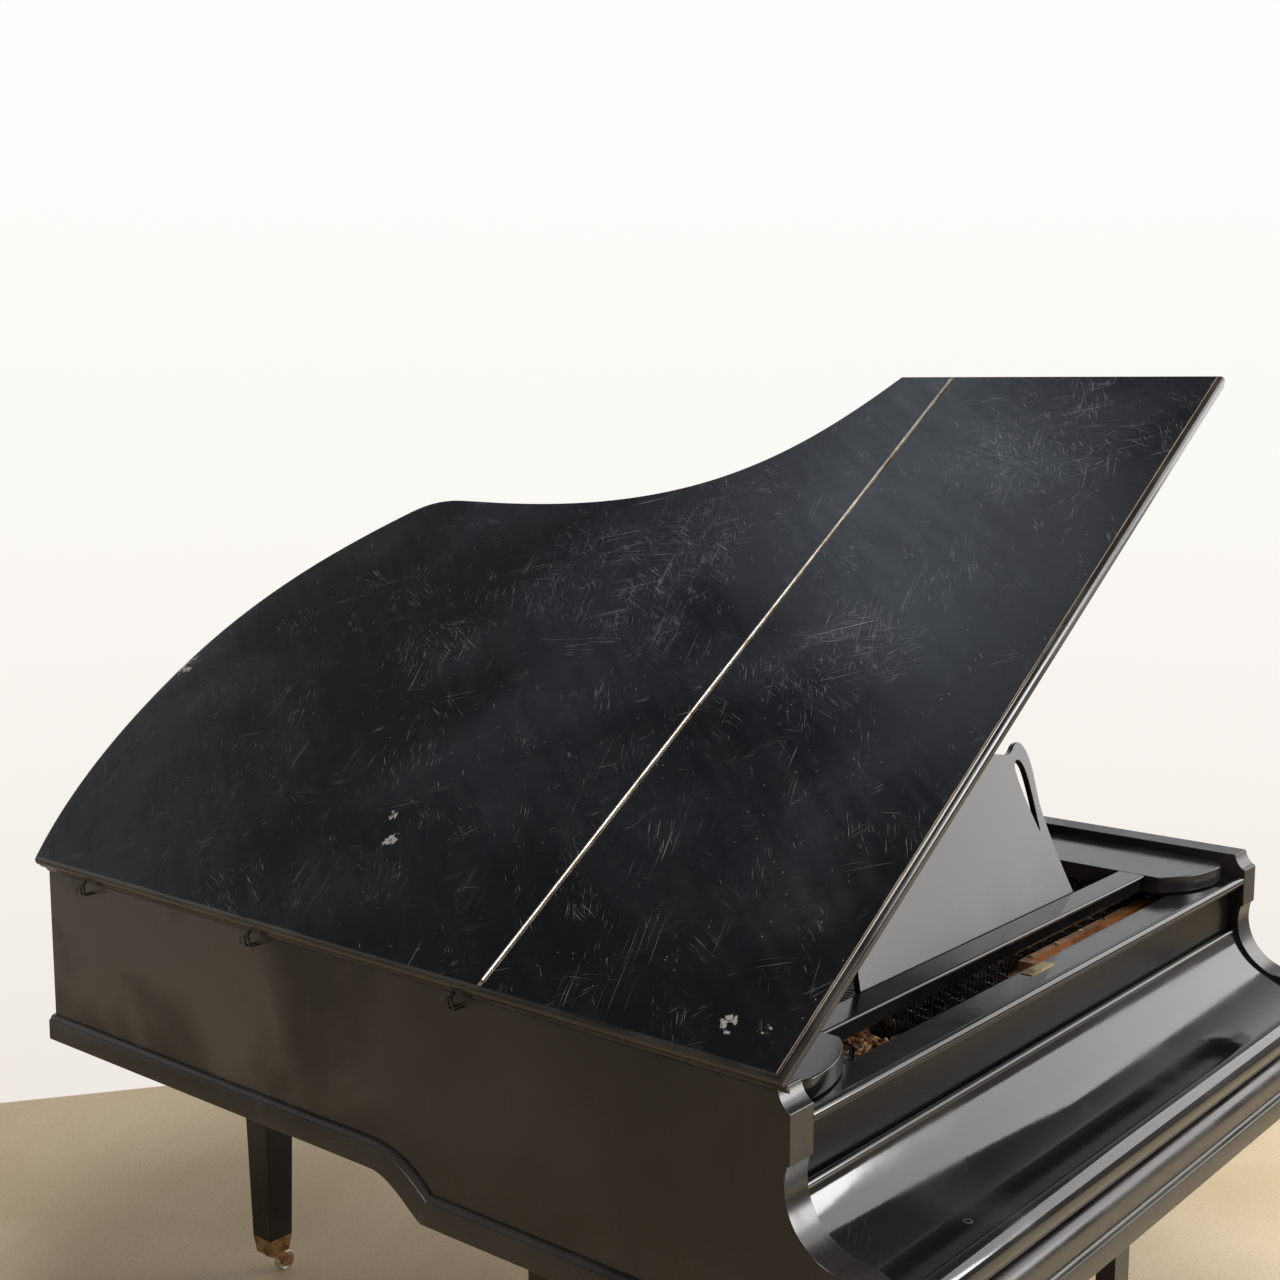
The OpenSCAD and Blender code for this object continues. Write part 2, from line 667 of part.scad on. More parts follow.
module hammers() {
    for (i = [1:notes]) let (x = strike_x(i)) placed() {
        color(timber) {
            block([x - 3, x + 3], [hammer_y - 2 + seat_gap, strike_y + 4], [shank_z - 3, shank_z + 3]);
        }
        color(ivory) along_x(x - 4.5, x + 4.5) polygon(concat(
            [[strike_y - 5, shank_z - 14], [strike_y + 5, shank_z - 14]],
            bez([[strike_y + 6, shank_z + 8], [strike_y + 15, shank_z + 24],
                [strike_y + 6, hammer_top], [strike_y, hammer_top]], 5),
            bez([[strike_y, hammer_top], [strike_y - 6, hammer_top],
                [strike_y - 15, shank_z + 24], [strike_y - 6, shank_z + 8]], 5, 1)));
    }
}

// ---------- fallboard ----------

fall_t = 14;
fall_lip = slip_top + 2;
fall_over = key_top + 43;
module fallboard() {
    color(lacquer) placed() {
        along_x(-inner_x + 1, inner_x - 1) {
            polygon(concat(
                [[slip_y + 26, fall_lip]],
                bez([[slip_y + 20, fall_lip], [slip_y + 2, fall_lip + 6],
                    [slip_y + 2, fall_over], [-140, fall_over]], 8),
                bez([[-140, fall_over], [-90, fall_over - 5], [-10, fall_over + 7],
                    [fall_y - 5, fall_z - 2]], 10, 1),
                [[fall_y + 5.5, fall_z - 3]],
                bez([[fall_y + 4, fall_z - 20], [2, fall_over - 7], [-90, fall_over - 19],
                    [-138, fall_over - fall_t]], 10),
                [[slip_y + 26, fall_over - fall_t - 4]]));
            translate([fall_y, fall_z]) circle(r = 6, $fn = 32);
        }
        for (side = [-1, 1]) rod([side * (inner_x - 3), fall_y, fall_z],
            [side * (inner_x + fall_pin_l), fall_y, fall_z], fall_pin_r);
    }
}

// ---------- lid ----------

lid_front = -2;
lid_low = rim_top + seat_gap;
lid_z = [lid_low, lid_low + lid_t];
joint_gap = 0.6;
flap_y = flap_l + lid_front;
barrel_r = 3;
leaf_t = 1.2;
leaf_h = 14;
barrel_z = lid_z[1] + 0.5;
barrel_y = flap_y - joint_gap / 2;

module barrel_groove() {
    rod([-hw - 20, barrel_y, barrel_z], [hw + 20, barrel_y, barrel_z], barrel_r + 0.5);
}
module lid() {
    color(lacquer) placed() lifted() difference() {
        plate_of(outline(-lid_over, flap_y), lid_z[0], lid_z[1]);
        barrel_groove();
        block([-hw + 4, hw - 4], [flap_y - e, flap_y + leaf_t], [barrel_z - leaf_h, lid_z[1] + e]);
    }
}
module lid_flap() {
    color(lacquer) placed() lifted() difference() {
        block([-hw - lid_over, hw + lid_over], [lid_front, flap_y - joint_gap], lid_z);
        barrel_groove();
        block([-hw + 4, hw - 4], [flap_y - joint_gap - leaf_t, flap_y], [barrel_z - leaf_h, lid_z[1] + e]);
    }
}

knuckles = 24;
knuckle_run = (case_w - 10) / knuckles;
// Knuckles of one leaf of the flap's long hinge: every second one, from the first given
module flap_knuckles(first) {
    for (k = [first:2:knuckles - 1]) {
        x = -hw + 5 + k * knuckle_run;
        rod([x, barrel_y, barrel_z], [x + knuckle_run - 0.4, barrel_y, barrel_z], barrel_r, $fn = 24);
    }
}
flap_pin_r = 1.2;
module flap_hinge_rear() {
    color(brass) placed() lifted() {
        flap_knuckles(0);
        rod([-hw + 6, barrel_y, barrel_z], [hw - 6, barrel_y, barrel_z], flap_pin_r, $fn = 24);
        block([-hw + 5, hw - 5], [flap_y, flap_y + leaf_t], [barrel_z - leaf_h, barrel_z - barrel_r - 0.6]);
        for (k = [0:2:knuckles - 1]) let (x = -hw + 5 + k * knuckle_run)
            block([x, x + knuckle_run - 0.4], [flap_y, flap_y + leaf_t],
                [barrel_z - barrel_r - 1, barrel_z - 1]);
    }
}
module flap_hinge_front() {
    edge = flap_y - joint_gap;
    color(brass) placed() lifted() difference() {
        union() {
            flap_knuckles(1);
            block([-hw + 5, hw - 5], [edge - leaf_t, edge],
                [barrel_z - leaf_h, barrel_z - barrel_r - 0.6]);
            for (k = [1:2:knuckles - 1]) let (x = -hw + 5 + k * knuckle_run)
                block([x, x + knuckle_run - 0.4], [edge - leaf_t, edge],
                    [barrel_z - barrel_r - 1, barrel_z - 1]);
        }
        rod([-hw, barrel_y, barrel_z], [hw, barrel_y, barrel_z], flap_pin_r + fit, $fn = 24);
    }
}

hinge_ys = [flap_y + 55, flap_y + 500, flap_y + 940];
hinge_half = 35;
mid_half = 11.7;
leaf = 2.5;
module knuckle(y, y0, y1) {
    difference() {
        union() {
            rod([hinge_x, y + y0, rim_top], [hinge_x, y + y1, rim_top], knuckle_r);
            children();
        }
        rod([hinge_x, y + y0 - e, rim_top], [hinge_x, y + y1 + e, rim_top], pin_r + fit);
    }
}
module lid_hinge_case_leaves() {
    color(brass) placed() for (y = hinge_ys) {
        block([-hw - leaf, -hw], [y - hinge_half, y + hinge_half], [rim_top - 45, rim_top - 4]);
        for (s = [[-hinge_half, -mid_half - 0.3], [mid_half + 0.3, hinge_half]])
            knuckle(y, s[0], s[1])
                block([hinge_x, -hw - leaf / 2], [y + s[0], y + s[1]],
                    [rim_top - knuckle_r - 2, rim_top - knuckle_r + 1.5]);
    }
}
module lid_hinge_lid_leaves() {
    color(brass) placed() lifted() for (y = hinge_ys) {
        knuckle(y, -mid_half, mid_half)
            block([hinge_x, -hw - lid_over - leaf / 2], [y - mid_half, y + mid_half],
                [lid_low + 1.2, lid_low + 4.2]);
        block([-hw - lid_over - leaf, -hw - lid_over], [y - hinge_half, y + hinge_half],
            [lid_low + 1.2, lid_z[1] - 3]);
    }
}
module lid_hinge_pins() {
    color(brass) placed() for (y = hinge_ys) {
        rod([hinge_x, y - hinge_half - 3, rim_top], [hinge_x, y + hinge_half + 7, rim_top], pin_r);
        rod([hinge_x, y + hinge_half + 6, rim_top + pin_r - 0.4],
            [hinge_x, y + hinge_half + 6, rim_top - 20], pin_r);
    }
}
module lid_stop_strip() {
    color(lacquer) placed() lifted()
        block([-inner_x + 8, inner_x - 8], [14, 28], [lid_low - stop_h, lid_low]);
}

// ---------- prop ----------

prop_pivot = [bent_x(prop_y, rim_t) - prop_in, prop_y, rim_top - prop_drop];
head_w = -cup_t - prop_r;
prop_head = [hinge_x + cup_u * cos(lid_angle) - head_w * sin(lid_angle), cup_v,
    rim_top + cup_u * sin(lid_angle) + head_w * cos(lid_angle)];
prop_l = norm(prop_head - prop_pivot);
prop_dir = (prop_head - prop_pivot) / prop_l;
// Direction in which the prop lies when it is folded down
fold_rise = (rim_top - 30 - prop_pivot.z) / prop_l;
fold_turn = 14;
fold_dir = [sin(fold_turn) * sqrt(1 - fold_rise * fold_rise),
    -cos(fold_turn) * sqrt(1 - fold_rise * fold_rise), fold_rise];
prop_axis = unit(cross(prop_dir, fold_dir));
prop_fold = acos(prop_dir * fold_dir);
eye_half = 8;
eye_pin = 4;
echo(prop_pivot = prop_pivot, prop_head = prop_head, prop_l = prop_l, prop_axis = prop_axis,
    prop_fold = prop_fold);

module prop_stick() {
    color(lacquer) placed() difference() {
        union() {
            rod(prop_pivot, prop_head, prop_r - 1);
            translate(prop_head) sphere(r = prop_r);
            rod(prop_pivot - eye_half * prop_axis, prop_pivot + eye_half * prop_axis, prop_r + 2);
        }
        rod(prop_pivot - 20 * prop_axis, prop_pivot + 20 * prop_axis, eye_pin + fit);
    }
}
ear_t = 5;
module prop_bracket() {
    back = -unit(prop_dir + fold_dir);
    inner = (eye_half + 0.4) * prop_axis;
    outer = (eye_half + 0.4 + ear_t) * prop_axis;
    base_z = plate_z + plate_t;
    color(brass) placed() difference() {
        union() {
            rod(prop_pivot + inner, prop_pivot + outer, prop_r + 1);
            rod(prop_pivot - inner, prop_pivot - outer, prop_r + 1);
            rod(prop_pivot - outer, prop_pivot + outer, eye_pin);
            // Bridge behind the eye, and the foot that stands on the plate
            rod(prop_pivot + 15.4 * back - outer, prop_pivot + 15.4 * back + outer, 3.4);
            for (s = [-1, 1]) rod(prop_pivot + s * (inner + outer) / 2,
                prop_pivot + 15.4 * back + s * (inner + outer) / 2, 2.4);
            difference() {
                translate([prop_pivot.x - 8, prop_pivot.y - 2, base_z]) cylinder(h = 12, r = 12);
                rod(prop_pivot - inner, prop_pivot + inner, prop_r + 3);
            }
        }
        translate([prop_pivot.x, prop_pivot.y, base_z - 40]) cylinder(h = 40, r = 60);
    }
}
module prop_cup() {
    cx = hinge_x + cup_u;
    color(lacquer) placed() lifted() {
        block([cx - 26, cx + 26], [cup_v - 30, cup_v + 30], [lid_low - cup_t, lid_low]);
        for (s = [-1, 1])
            block([cx + s * 21 - 5, cx + s * 21 + 5], [cup_v - 24, cup_v + 24],
                [lid_low - cup_t - 5, lid_low - cup_t + e]);
    }
}

// ---------- music desk ----------

shelf_z = [rim_top - 15 - shelf_t, rim_top - 15];
shelf_front = 30;
desk_foot = 156;
rail_depth = 46;
// The panel turns in the frame's open middle, so that it folds below the shelves' top
desk_axis = [desk_foot + 9.5, shelf_z[1] - 10];
foot_s = 10.6;
panel_back = -3.8;
desk_pin = 2.2;
ear_x = desk_w / 2 + 1;
module desk_runners() {
    color(lacquer) placed() for (side = [-1, 1]) mirror([side < 0 ? 1 : 0, 0, 0])
        block([inner_x - 20, inner_x], [board_rear + 5, cheek_l - 45], [shelf_z[0] - 25, shelf_z[0] - seat_gap]);
}

shelf_x = [inner_x - 1 - shelf_w, inner_x - 1];
shelf_outline = concat(
    [[shelf_x[1], shelf_front + shelf_l]],
    bez([[shelf_x[1], shelf_front + 48], [shelf_x[1], shelf_front + 18],
        [shelf_x[1] - 19, shelf_front], [shelf_x[1] - 47, shelf_front]], 6),
    bez([[shelf_x[1] - 47, shelf_front], [shelf_x[1] - 97, shelf_front],
        [shelf_x[0] + 25, shelf_front + 22], [shelf_x[0], shelf_front + 55]], 7, 1),
    [[shelf_x[0], shelf_front + shelf_l]]);
module desk_frame() {
    color(lacquer) placed() {
        for (side = [-1, 1]) mirror([side < 0 ? 1 : 0, 0, 0])
            plate_of(shelf_outline, shelf_z[0], shelf_z[1]);
        block([-shelf_x[0] - e, shelf_x[0] + e], [desk_foot - rail_depth, desk_foot], shelf_z);
        for (side = [-1, 1]) mirror([side < 0 ? 1 : 0, 0, 0]) {
            // Ear and pin of the panel's pivot
            block([ear_x, ear_x + 4], [desk_foot - 2, desk_axis[0] + 5],
                [shelf_z[0] + 5, desk_axis[1] + 5]);
            rod([ear_x - 15, desk_axis[0], desk_axis[1]], [ear_x + 1, desk_axis[0], desk_axis[1]],
                desk_pin, $fn = 24);
        }
    }
}

ph = desk_w / 2;
panel_side = concat(
    bez([[ph, 0], [ph - 12, 45], [ph - 22, 95], [ph - 25, 140]], 5),
    bez([[ph - 25, 140], [ph - 27, 170], [ph - 16, desk_h - 73], [ph - 16, desk_h - 43]], 5, 1),
    bez([[ph - 16, desk_h - 43], [ph - 16, desk_h - 20], [ph - 24, desk_h], [ph - 44, desk_h]], 5, 1),
    bez([[ph - 44, desk_h], [ph - 60, desk_h], [ph - 66, desk_h - 18], [ph - 92, desk_h - 14]], 5, 1),
    bez([[ph - 92, desk_h - 14], [ph - 150, desk_h - 6], [150, desk_h + 20], [0, desk_h + 20]], 8, 1));
slit = concat(
    bez([[ph - 51, 112], [ph - 62, 150], [ph - 74, desk_h - 70], [ph - 72, desk_h - 42]], 6),
    bez([[ph - 72, desk_h - 42], [ph - 68, desk_h - 26], [ph - 50, desk_h - 26],
        [ph - 43, desk_h - 44]], 5, 1),
    bez([[ph - 43, desk_h - 44], [ph - 38, desk_h - 70], [ph - 46, 150], [ph - 51, 112]], 6, 1));
module desk_panel() {
    pts = concat(panel_side, mirrored([for (k = [0:len(panel_side) - 2]) panel_side[k]]));
    color(lacquer) placed() translate([0, desk_axis[0], desk_axis[1]]) rotate([desk_slope, 0, 0])
        difference() {
            translate([0, 0, panel_back]) linear_extrude(desk_t) difference() {
                union() {
                    translate([0, foot_s]) polygon(pts);
                    translate([-ph, -5]) square([2 * ph, foot_s + 6]);
                }
                translate([0, foot_s]) {
                    polygon([for (k = [0:len(slit) - 2]) slit[k]]);
                    polygon(mirrored([for (k = [0:len(slit) - 2]) slit[k]]));
                }
            }
            for (side = [-1, 1])
                rod([side * (ph + e), 0, 0], [side * (ph - 15.5), 0, 0], desk_pin + fit, $fn = 24);
        }
}

// ---------- legs and casters ----------

leg_inset = 42.5;
front_leg_y = 398;
leg_at = [[-hw + leg_inset, front_leg_y], [hw - leg_inset, front_leg_y],
    [apex_x + 25, case_l - 55]];
sabot_foot = leg_foot - 10;
module square_taper(w0, w1, z0, z1) {
    translate([0, 0, z0]) rotate([0, 0, 45])
        cylinder(h = z1 - z0, r1 = w0 / sqrt(2), r2 = w1 / sqrt(2), $fn = 4);
}
leg_head = 28;
module leg(k, top_z) {
    foot = leg_foot / 2;
    top = leg_top / 2;
    side = [[-foot, sabot_top], [foot, sabot_top], [top, top_z - leg_head], [top, top_z],
        [-top, top_z], [-top, top_z - leg_head]];
    color(lacquer) placed() translate([leg_at[k].x, leg_at[k].y, 0]) intersection() {
        along_x(-leg_top, leg_top) polygon(side);
        rotate([0, 0, 90]) along_x(-leg_top, leg_top) polygon(side);
    }
}
module leg_bass() { leg(0, front_bottom); }
module leg_treble() { leg(1, front_bottom); }
module leg_tail() { leg(2, tail_bottom); }

stem_r = 8;
stem_top = sabot_top - 17;
module sabots() {
    color(brass) placed() for (p = leg_at) translate([p.x, p.y, 0]) difference() {
        square_taper(sabot_foot, leg_foot, sabot_top - sabot_h, sabot_top);
        translate([0, 0, sabot_top - sabot_h - e]) cylinder(h = stem_top - sabot_top + sabot_h + e + 0.5,
            r = stem_r + fit);
    }
}

fork_t = 4;
axle_r = 4;
fork_top = sabot_top - sabot_h - seat_gap;
module caster_fork(k) {
    side = wheel_w / 2 + 1;
    color(brass) placed() translate([leg_at[k].x, leg_at[k].y, 0]) {
        translate([0, 0, fork_top - 5]) cylinder(h = stem_top - fork_top + 5, r = stem_r);
        translate([0, 0, fork_top - 6]) cylinder(h = 6, r = 17);
        for (s = [-1, 1]) translate([0, s * (side + fork_t / 2) + fork_t / 2, 0]) rotate([90, 0, 0])
            linear_extrude(fork_t) polygon([[-12, fork_top - 1], [12, fork_top - 1],
                [trail + 9, wheel_r + 8], [trail + 9, wheel_r - 8], [trail - 9, wheel_r - 8],
                [trail - 14, wheel_r + 2], [-12, fork_top - 6]]);
        translate([trail, 0, wheel_r]) rotate([90, 0, 0])
            cylinder(h = 2 * side + 2 * fork_t + 3, r = axle_r, center = true);
    }
}
module caster_fork_bass() { caster_fork(0); }
module caster_fork_treble() { caster_fork(1); }
module caster_fork_tail() { caster_fork(2); }
module caster_wheel(k) {
    color(brass) placed() translate([leg_at[k].x + trail, leg_at[k].y, wheel_r]) rotate([90, 0, 0])
        difference() {
            cylinder(h = wheel_w, r = wheel_r, center = true, $fn = 64);
            cylinder(h = wheel_w + 2 * e, r = axle_r + fit, center = true);
            for (s = [0, 1]) mirror([0, 0, s]) translate([0, 0, wheel_w / 2 - 2]) difference() {
                cylinder(h = 3, r = wheel_r - 4);
                translate([0, 0, -e]) cylinder(h = 5, r = axle_r + 3);
            }
        }
}
module caster_wheel_bass() { caster_wheel(0); }
module caster_wheel_treble() { caster_wheel(1); }
module caster_wheel_tail() { caster_wheel(2); }

// ---------- pedal lyre ----------

lyre_box_x = 140;
lyre_box_y = [-75, 60];
lyre_box_z = [85, 165];
lyre_wall = 14;
lyre_block_h = 25;
pillar_x = [62, 112];
pillar_y = [-62, -30];
pedal_z = 121.5;
pedal_t = 9;
pedal_pin = 4;
pedal_reach = 160;
module lyre_frame() {
    color(lacquer) placed() difference() {
        union() {
            block([-lyre_box_x + 20, lyre_box_x - 20], [lyre_box_y[0], lyre_box_y[1] - 5],
                [front_bottom - lyre_block_h, front_bottom]);
            for (side = [-1, 1]) mirror([side < 0 ? 1 : 0, 0, 0])
                block(pillar_x, pillar_y, [lyre_box_z[1] - e, front_bottom - lyre_block_h + e]);
            difference() {
                block([-lyre_box_x, lyre_box_x], lyre_box_y, lyre_box_z);
                block([-lyre_box_x + lyre_wall, lyre_box_x - lyre_wall],
                    [lyre_box_y[0] + lyre_wall, lyre_box_y[1] - lyre_wall],
                    [lyre_box_z[0] - e, lyre_box_z[1] - lyre_wall]);
                for (side = [-1, 1]) translate([side * pedal_x, 0, 0])
                    block([-pedal_w / 2 - 4, pedal_w / 2 + 4], [lyre_box_y[0] - e, lyre_box_y[0] + lyre_wall + e],
                        [pedal_z - 22, pedal_z + 16]);
            }
            rod([-lyre_box_x + 4, 0, pedal_z], [lyre_box_x - 4, 0, pedal_z], pedal_pin);
        }
        for (side = [-1, 1]) translate([side * pedal_x, rod_y, lyre_box_z[1] - lyre_wall - e])
            cylinder(h = front_bottom - lyre_box_z[1] + lyre_wall + 2 * e, r = rod_hole);
    }
}
module lyre_braces() {
    color(brass) placed() intersection() {
        for (side = [-1, 1])
            rod([side * 95, 30, lyre_box_z[1] - 30], [side * 95, 340, front_bottom + 20], 7);
        block([-200, 200], [-100, 500], [lyre_box_z[1], front_bottom]);
    }
}
module pedal(side) {
    color(brass) placed() translate([side * pedal_x, 0, pedal_z]) difference() {
        union() {
            block([-pedal_w / 2, pedal_w / 2], [-pedal_reach + 22, 40], [-pedal_t / 2, pedal_t / 2]);
            translate([0, -pedal_reach + 22, -pedal_t / 2]) cylinder(h = pedal_t, r = 22);
            rod([-pedal_w / 2, 0, 0], [pedal_w / 2, 0, 0], pedal_pin + 3);
        }
        rod([-pedal_w, 0, 0], [pedal_w, 0, 0], pedal_pin + fit);
    }
}
module soft_pedal() { pedal(-1); }
module sustain_pedal() { pedal(1); }
rod_top = bed_z + 17;
module pedal_rod(side) {
    z0 = pedal_z + pedal_t / 2 + seat_gap;
    color(brass) placed() translate([side * pedal_x, rod_y, 0]) {
        translate([0, 0, z0]) cylinder(h = 4, r = 1.5, $fn = 24);
        translate([0, 0, z0 + 3]) cylinder(h = rod_top - z0 - 3, r = rod_r);
    }
}
module soft_pedal_rod() { pedal_rod(-1); }
module sustain_pedal_rod() { pedal_rod(1); }

rim();
inner_rim();
case_beams();
base_moulding();
keybed();
key_slip();
key_blocks();
name_board();
label_plate();
soundboard();
soundboard_ribs();
bridges();
pin_block();
iron_plate();
plate_bolts();
tuning_pins();
bass_strings();
plain_strings();
dampers();
key_frame();
white_keys();
black_keys();
key_c();
key_c_sharp();
key_d();
action_frame();
wippens();
hammers();
fallboard();
lid();
lid_flap();
flap_hinge_rear();
flap_hinge_front();
lid_hinge_case_leaves();
lid_hinge_lid_leaves();
lid_hinge_pins();
lid_stop_strip();
prop_stick();
prop_bracket();
prop_cup();
desk_runners();
desk_frame();
desk_panel();
leg_bass();
leg_treble();
leg_tail();
sabots();
caster_fork_bass();
caster_fork_treble();
caster_fork_tail();
caster_wheel_bass();
caster_wheel_treble();
caster_wheel_tail();
lyre_frame();
lyre_braces();
soft_pedal();
sustain_pedal();
soft_pedal_rod();
sustain_pedal_rod();
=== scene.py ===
"""Looks of an old grand piano with its lid raised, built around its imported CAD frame.

Shapes are drawn in millimetres in the case's own axes: X from bass to treble with 0 in the
middle, Y from the arms' fronts to the tail, Z up from the floor. AXES turns them into metres
in the frame.
"""

import json
import logging
import math
from collections.abc import Callable, Sequence
from dataclasses import dataclass, field
from enum import Enum
from functools import cache

import bmesh
import bpy
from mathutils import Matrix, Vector
from mathutils.geometry import tessellate_polygon

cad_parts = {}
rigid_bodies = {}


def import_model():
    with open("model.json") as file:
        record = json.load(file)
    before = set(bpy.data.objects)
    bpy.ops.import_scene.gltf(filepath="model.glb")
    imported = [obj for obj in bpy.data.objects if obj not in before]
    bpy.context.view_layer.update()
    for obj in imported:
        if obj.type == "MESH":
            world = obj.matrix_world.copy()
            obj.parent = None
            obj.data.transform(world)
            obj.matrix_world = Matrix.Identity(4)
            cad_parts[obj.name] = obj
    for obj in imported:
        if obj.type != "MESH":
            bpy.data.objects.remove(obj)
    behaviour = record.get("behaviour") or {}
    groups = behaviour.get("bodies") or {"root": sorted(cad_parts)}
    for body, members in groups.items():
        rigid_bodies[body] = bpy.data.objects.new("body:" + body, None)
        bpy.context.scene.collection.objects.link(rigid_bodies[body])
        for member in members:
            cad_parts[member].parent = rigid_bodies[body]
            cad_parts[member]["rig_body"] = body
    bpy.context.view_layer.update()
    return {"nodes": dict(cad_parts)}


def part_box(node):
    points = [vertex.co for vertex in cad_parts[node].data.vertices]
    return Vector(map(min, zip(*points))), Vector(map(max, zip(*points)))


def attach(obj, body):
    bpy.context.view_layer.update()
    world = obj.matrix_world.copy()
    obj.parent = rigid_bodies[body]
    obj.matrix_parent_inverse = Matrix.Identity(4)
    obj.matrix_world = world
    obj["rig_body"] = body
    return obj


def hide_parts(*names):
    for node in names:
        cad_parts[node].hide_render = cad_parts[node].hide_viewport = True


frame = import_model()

LOG = logging.getLogger("grand_piano")
MM = 1000.0
Flat = tuple[float, float]
Point = tuple[float, float, float]
Tone = tuple[float, float, float]
Section = Callable[[float], list[Flat]]  # from an inset to a closed loop
Placing = Callable[[float, float, float], Point]  # from a section's axes to the case's


class Body(Enum):
    """CAD bodies that the pieces ride on."""

    CASE = "case"
    FALLBOARD = "fallboard_leaf"
    LID = "lid_leaf"
    FLAP = "flap_leaf"
    DESK = "desk"
    PANEL = "desk_leaf"


class Slot(Enum):
    """Material slots of the record."""

    LACQUER = "black_lacquer"
    BED = "bed_timber"
    EBONISED = "ebonised"
    IVORY = "ivory"
    BRONZE = "bronzed_iron"
    COPPER = "copper_winding"
    STEEL = "steel"
    BRASS = "brass"


class Side(Enum):
    """Sides of the case, as signs of X."""

    BASS = -1
    TREBLE = 1


class Step(Enum):
    """Arithmetic steps of a material's recipe."""

    ADD = "ADD"
    SUBTRACT = "SUBTRACT"
    MULTIPLY = "MULTIPLY"
    MAXIMUM = "MAXIMUM"
    ABSOLUTE = "ABSOLUTE"
    LESS_THAN = "LESS_THAN"


@dataclass(frozen=True)
class CaseAxes:
    """The case's own axes, fixed to the rim of the frame.

    Attributes:
        middle_x: X of the case's middle in the frame, in metres.
        arms_y: Y of the arms' fronts in the frame, in metres.
    """

    middle_x: float
    arms_y: float

    def at(self, x: float, y: float, z: float) -> Vector:
        """Place in the frame, in metres, of a point of the case's axes in millimetres."""
        return Vector((self.middle_x + x / MM, self.arms_y + y / MM, z / MM))


RIM_LOW, RIM_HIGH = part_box("rim")
ARM_REACH = 170.0  # the arms stand this far in front of Y 0
AXES = CaseAxes((RIM_LOW.x + RIM_HIGH.x) / 2, RIM_LOW.y + ARM_REACH / MM)
HALF = (RIM_HIGH.x - RIM_LOW.x) / 2 * MM  # half of the case's width
TAIL = (RIM_HIGH.y - AXES.arms_y) * MM  # Y of the tail
RIM_TOP = RIM_HIGH.z * MM
RIM_T = 52.0  # thickness of the rim
INNER = HALF - RIM_T
LID_ANGLE = math.radians(33.64)  # how far the lid is raised
HINGE_X = -HALF - 22.8  # axis of the lid's hinges, at the rim's top
FLAT_TURN = math.radians(0.4)  # faces that turn by less are joined into one
WELD = 1e-6  # points nearer than this become one, in metres
SHARP = 32.0  # edges that turn by more degrees than this stay sharp


# ---------- curves and meshes ----------


def bezier(points: Sequence[Flat], steps: int, start: float = 0.0, end: float = 1.0) -> list[Flat]:
    """Points along a cubic curve.

    Args:
        points: the four control points.
        steps: number of spans between start and end.
        start, end: share of the curve where the points begin and end.

    Returns:
        steps + 1 points.
    """
    a, b, c, d = (Vector(p) for p in points)
    found = []
    for i in range(steps + 1):
        t = start + (end - start) * i / steps
        p = (1 - t) ** 3 * a + 3 * (1 - t) ** 2 * t * b + 3 * (1 - t) * t * t * c + t ** 3 * d
        found.append((p.x, p.y))
    return found


def arc(centre: Flat, radius: float, first: float, last: float, steps: int) -> list[Flat]:
    """Points along an arc, between two angles in degrees.

    Args:
        centre: the arc's centre.
        radius: its radius.
        first, last: angles from the first axis.
        steps: number of spans.

    Returns:
        steps + 1 points.
    """
    angles = (math.radians(first + (last - first) * i / steps) for i in range(steps + 1))
    return [(centre[0] + radius * math.cos(a), centre[1] + radius * math.sin(a)) for a in angles]


def interpolate(value: float, line: Sequence[Flat]) -> float:
    """Second value at a given first value along a line.

    Args:
        value: the first value.
        line: points whose first values rise.

    Returns:
        The second value, held constant beyond the line's ends.
    """
    if value <= line[0][0]:
        return line[0][1]
    for (a, low), (b, high) in zip(line, line[1:]):
        if value <= b:
            return low + (high - low) * (value - a) / (b - a)
    return line[-1][1]


def mitre(before: Flat, here: Flat, after: Flat) -> Vector:
    """Move of a corner for an inset of 1, to the left of the way through it.

    Args:
        before, here, after: the corner between its two neighbours.

    Returns:
        The move.
    """
    arriving, leaving = Vector(here) - Vector(before), Vector(after) - Vector(here)
    left_a = Vector((-arriving.y, arriving.x)).normalized()
    left_b = Vector((-leaving.y, leaving.x)).normalized()
    return (left_a + left_b) / max(1 + left_a.dot(left_b), 0.3)


def offset_loop(points: Sequence[Flat]) -> Section:
    """Insets of a closed loop that has its material on the left.

    Args:
        points: the loop.

    Returns:
        A function from an inset to the inset loop.
    """
    following = [*points[1:], points[0]]
    moves = [mitre(points[i - 1], here, following[i]) for i, here in enumerate(points)]
    return lambda d: [(p[0] + d * m.x, p[1] + d * m.y) for p, m in zip(points, moves)]


def upright(x: float, y: float, z: float) -> Point:
    """Keeps a point as it is."""
    return (x, y, z)


def across(y: float, z: float, x: float) -> Point:
    """Turns a section of Y and Z into one that runs along X."""
    return (x, y, z)


def lifted(x: float, y: float, z: float) -> Point:
    """Turns a point of the closed lid about the lid's hinges.

    Args:
        x, y, z: the point on the closed lid.

    Returns:
        The point on the raised lid.
    """
    dx, dz = x - HINGE_X, z - RIM_TOP
    return (HINGE_X + dx * math.cos(LID_ANGLE) - dz * math.sin(LID_ANGLE), y,
            RIM_TOP + dx * math.sin(LID_ANGLE) + dz * math.cos(LID_ANGLE))


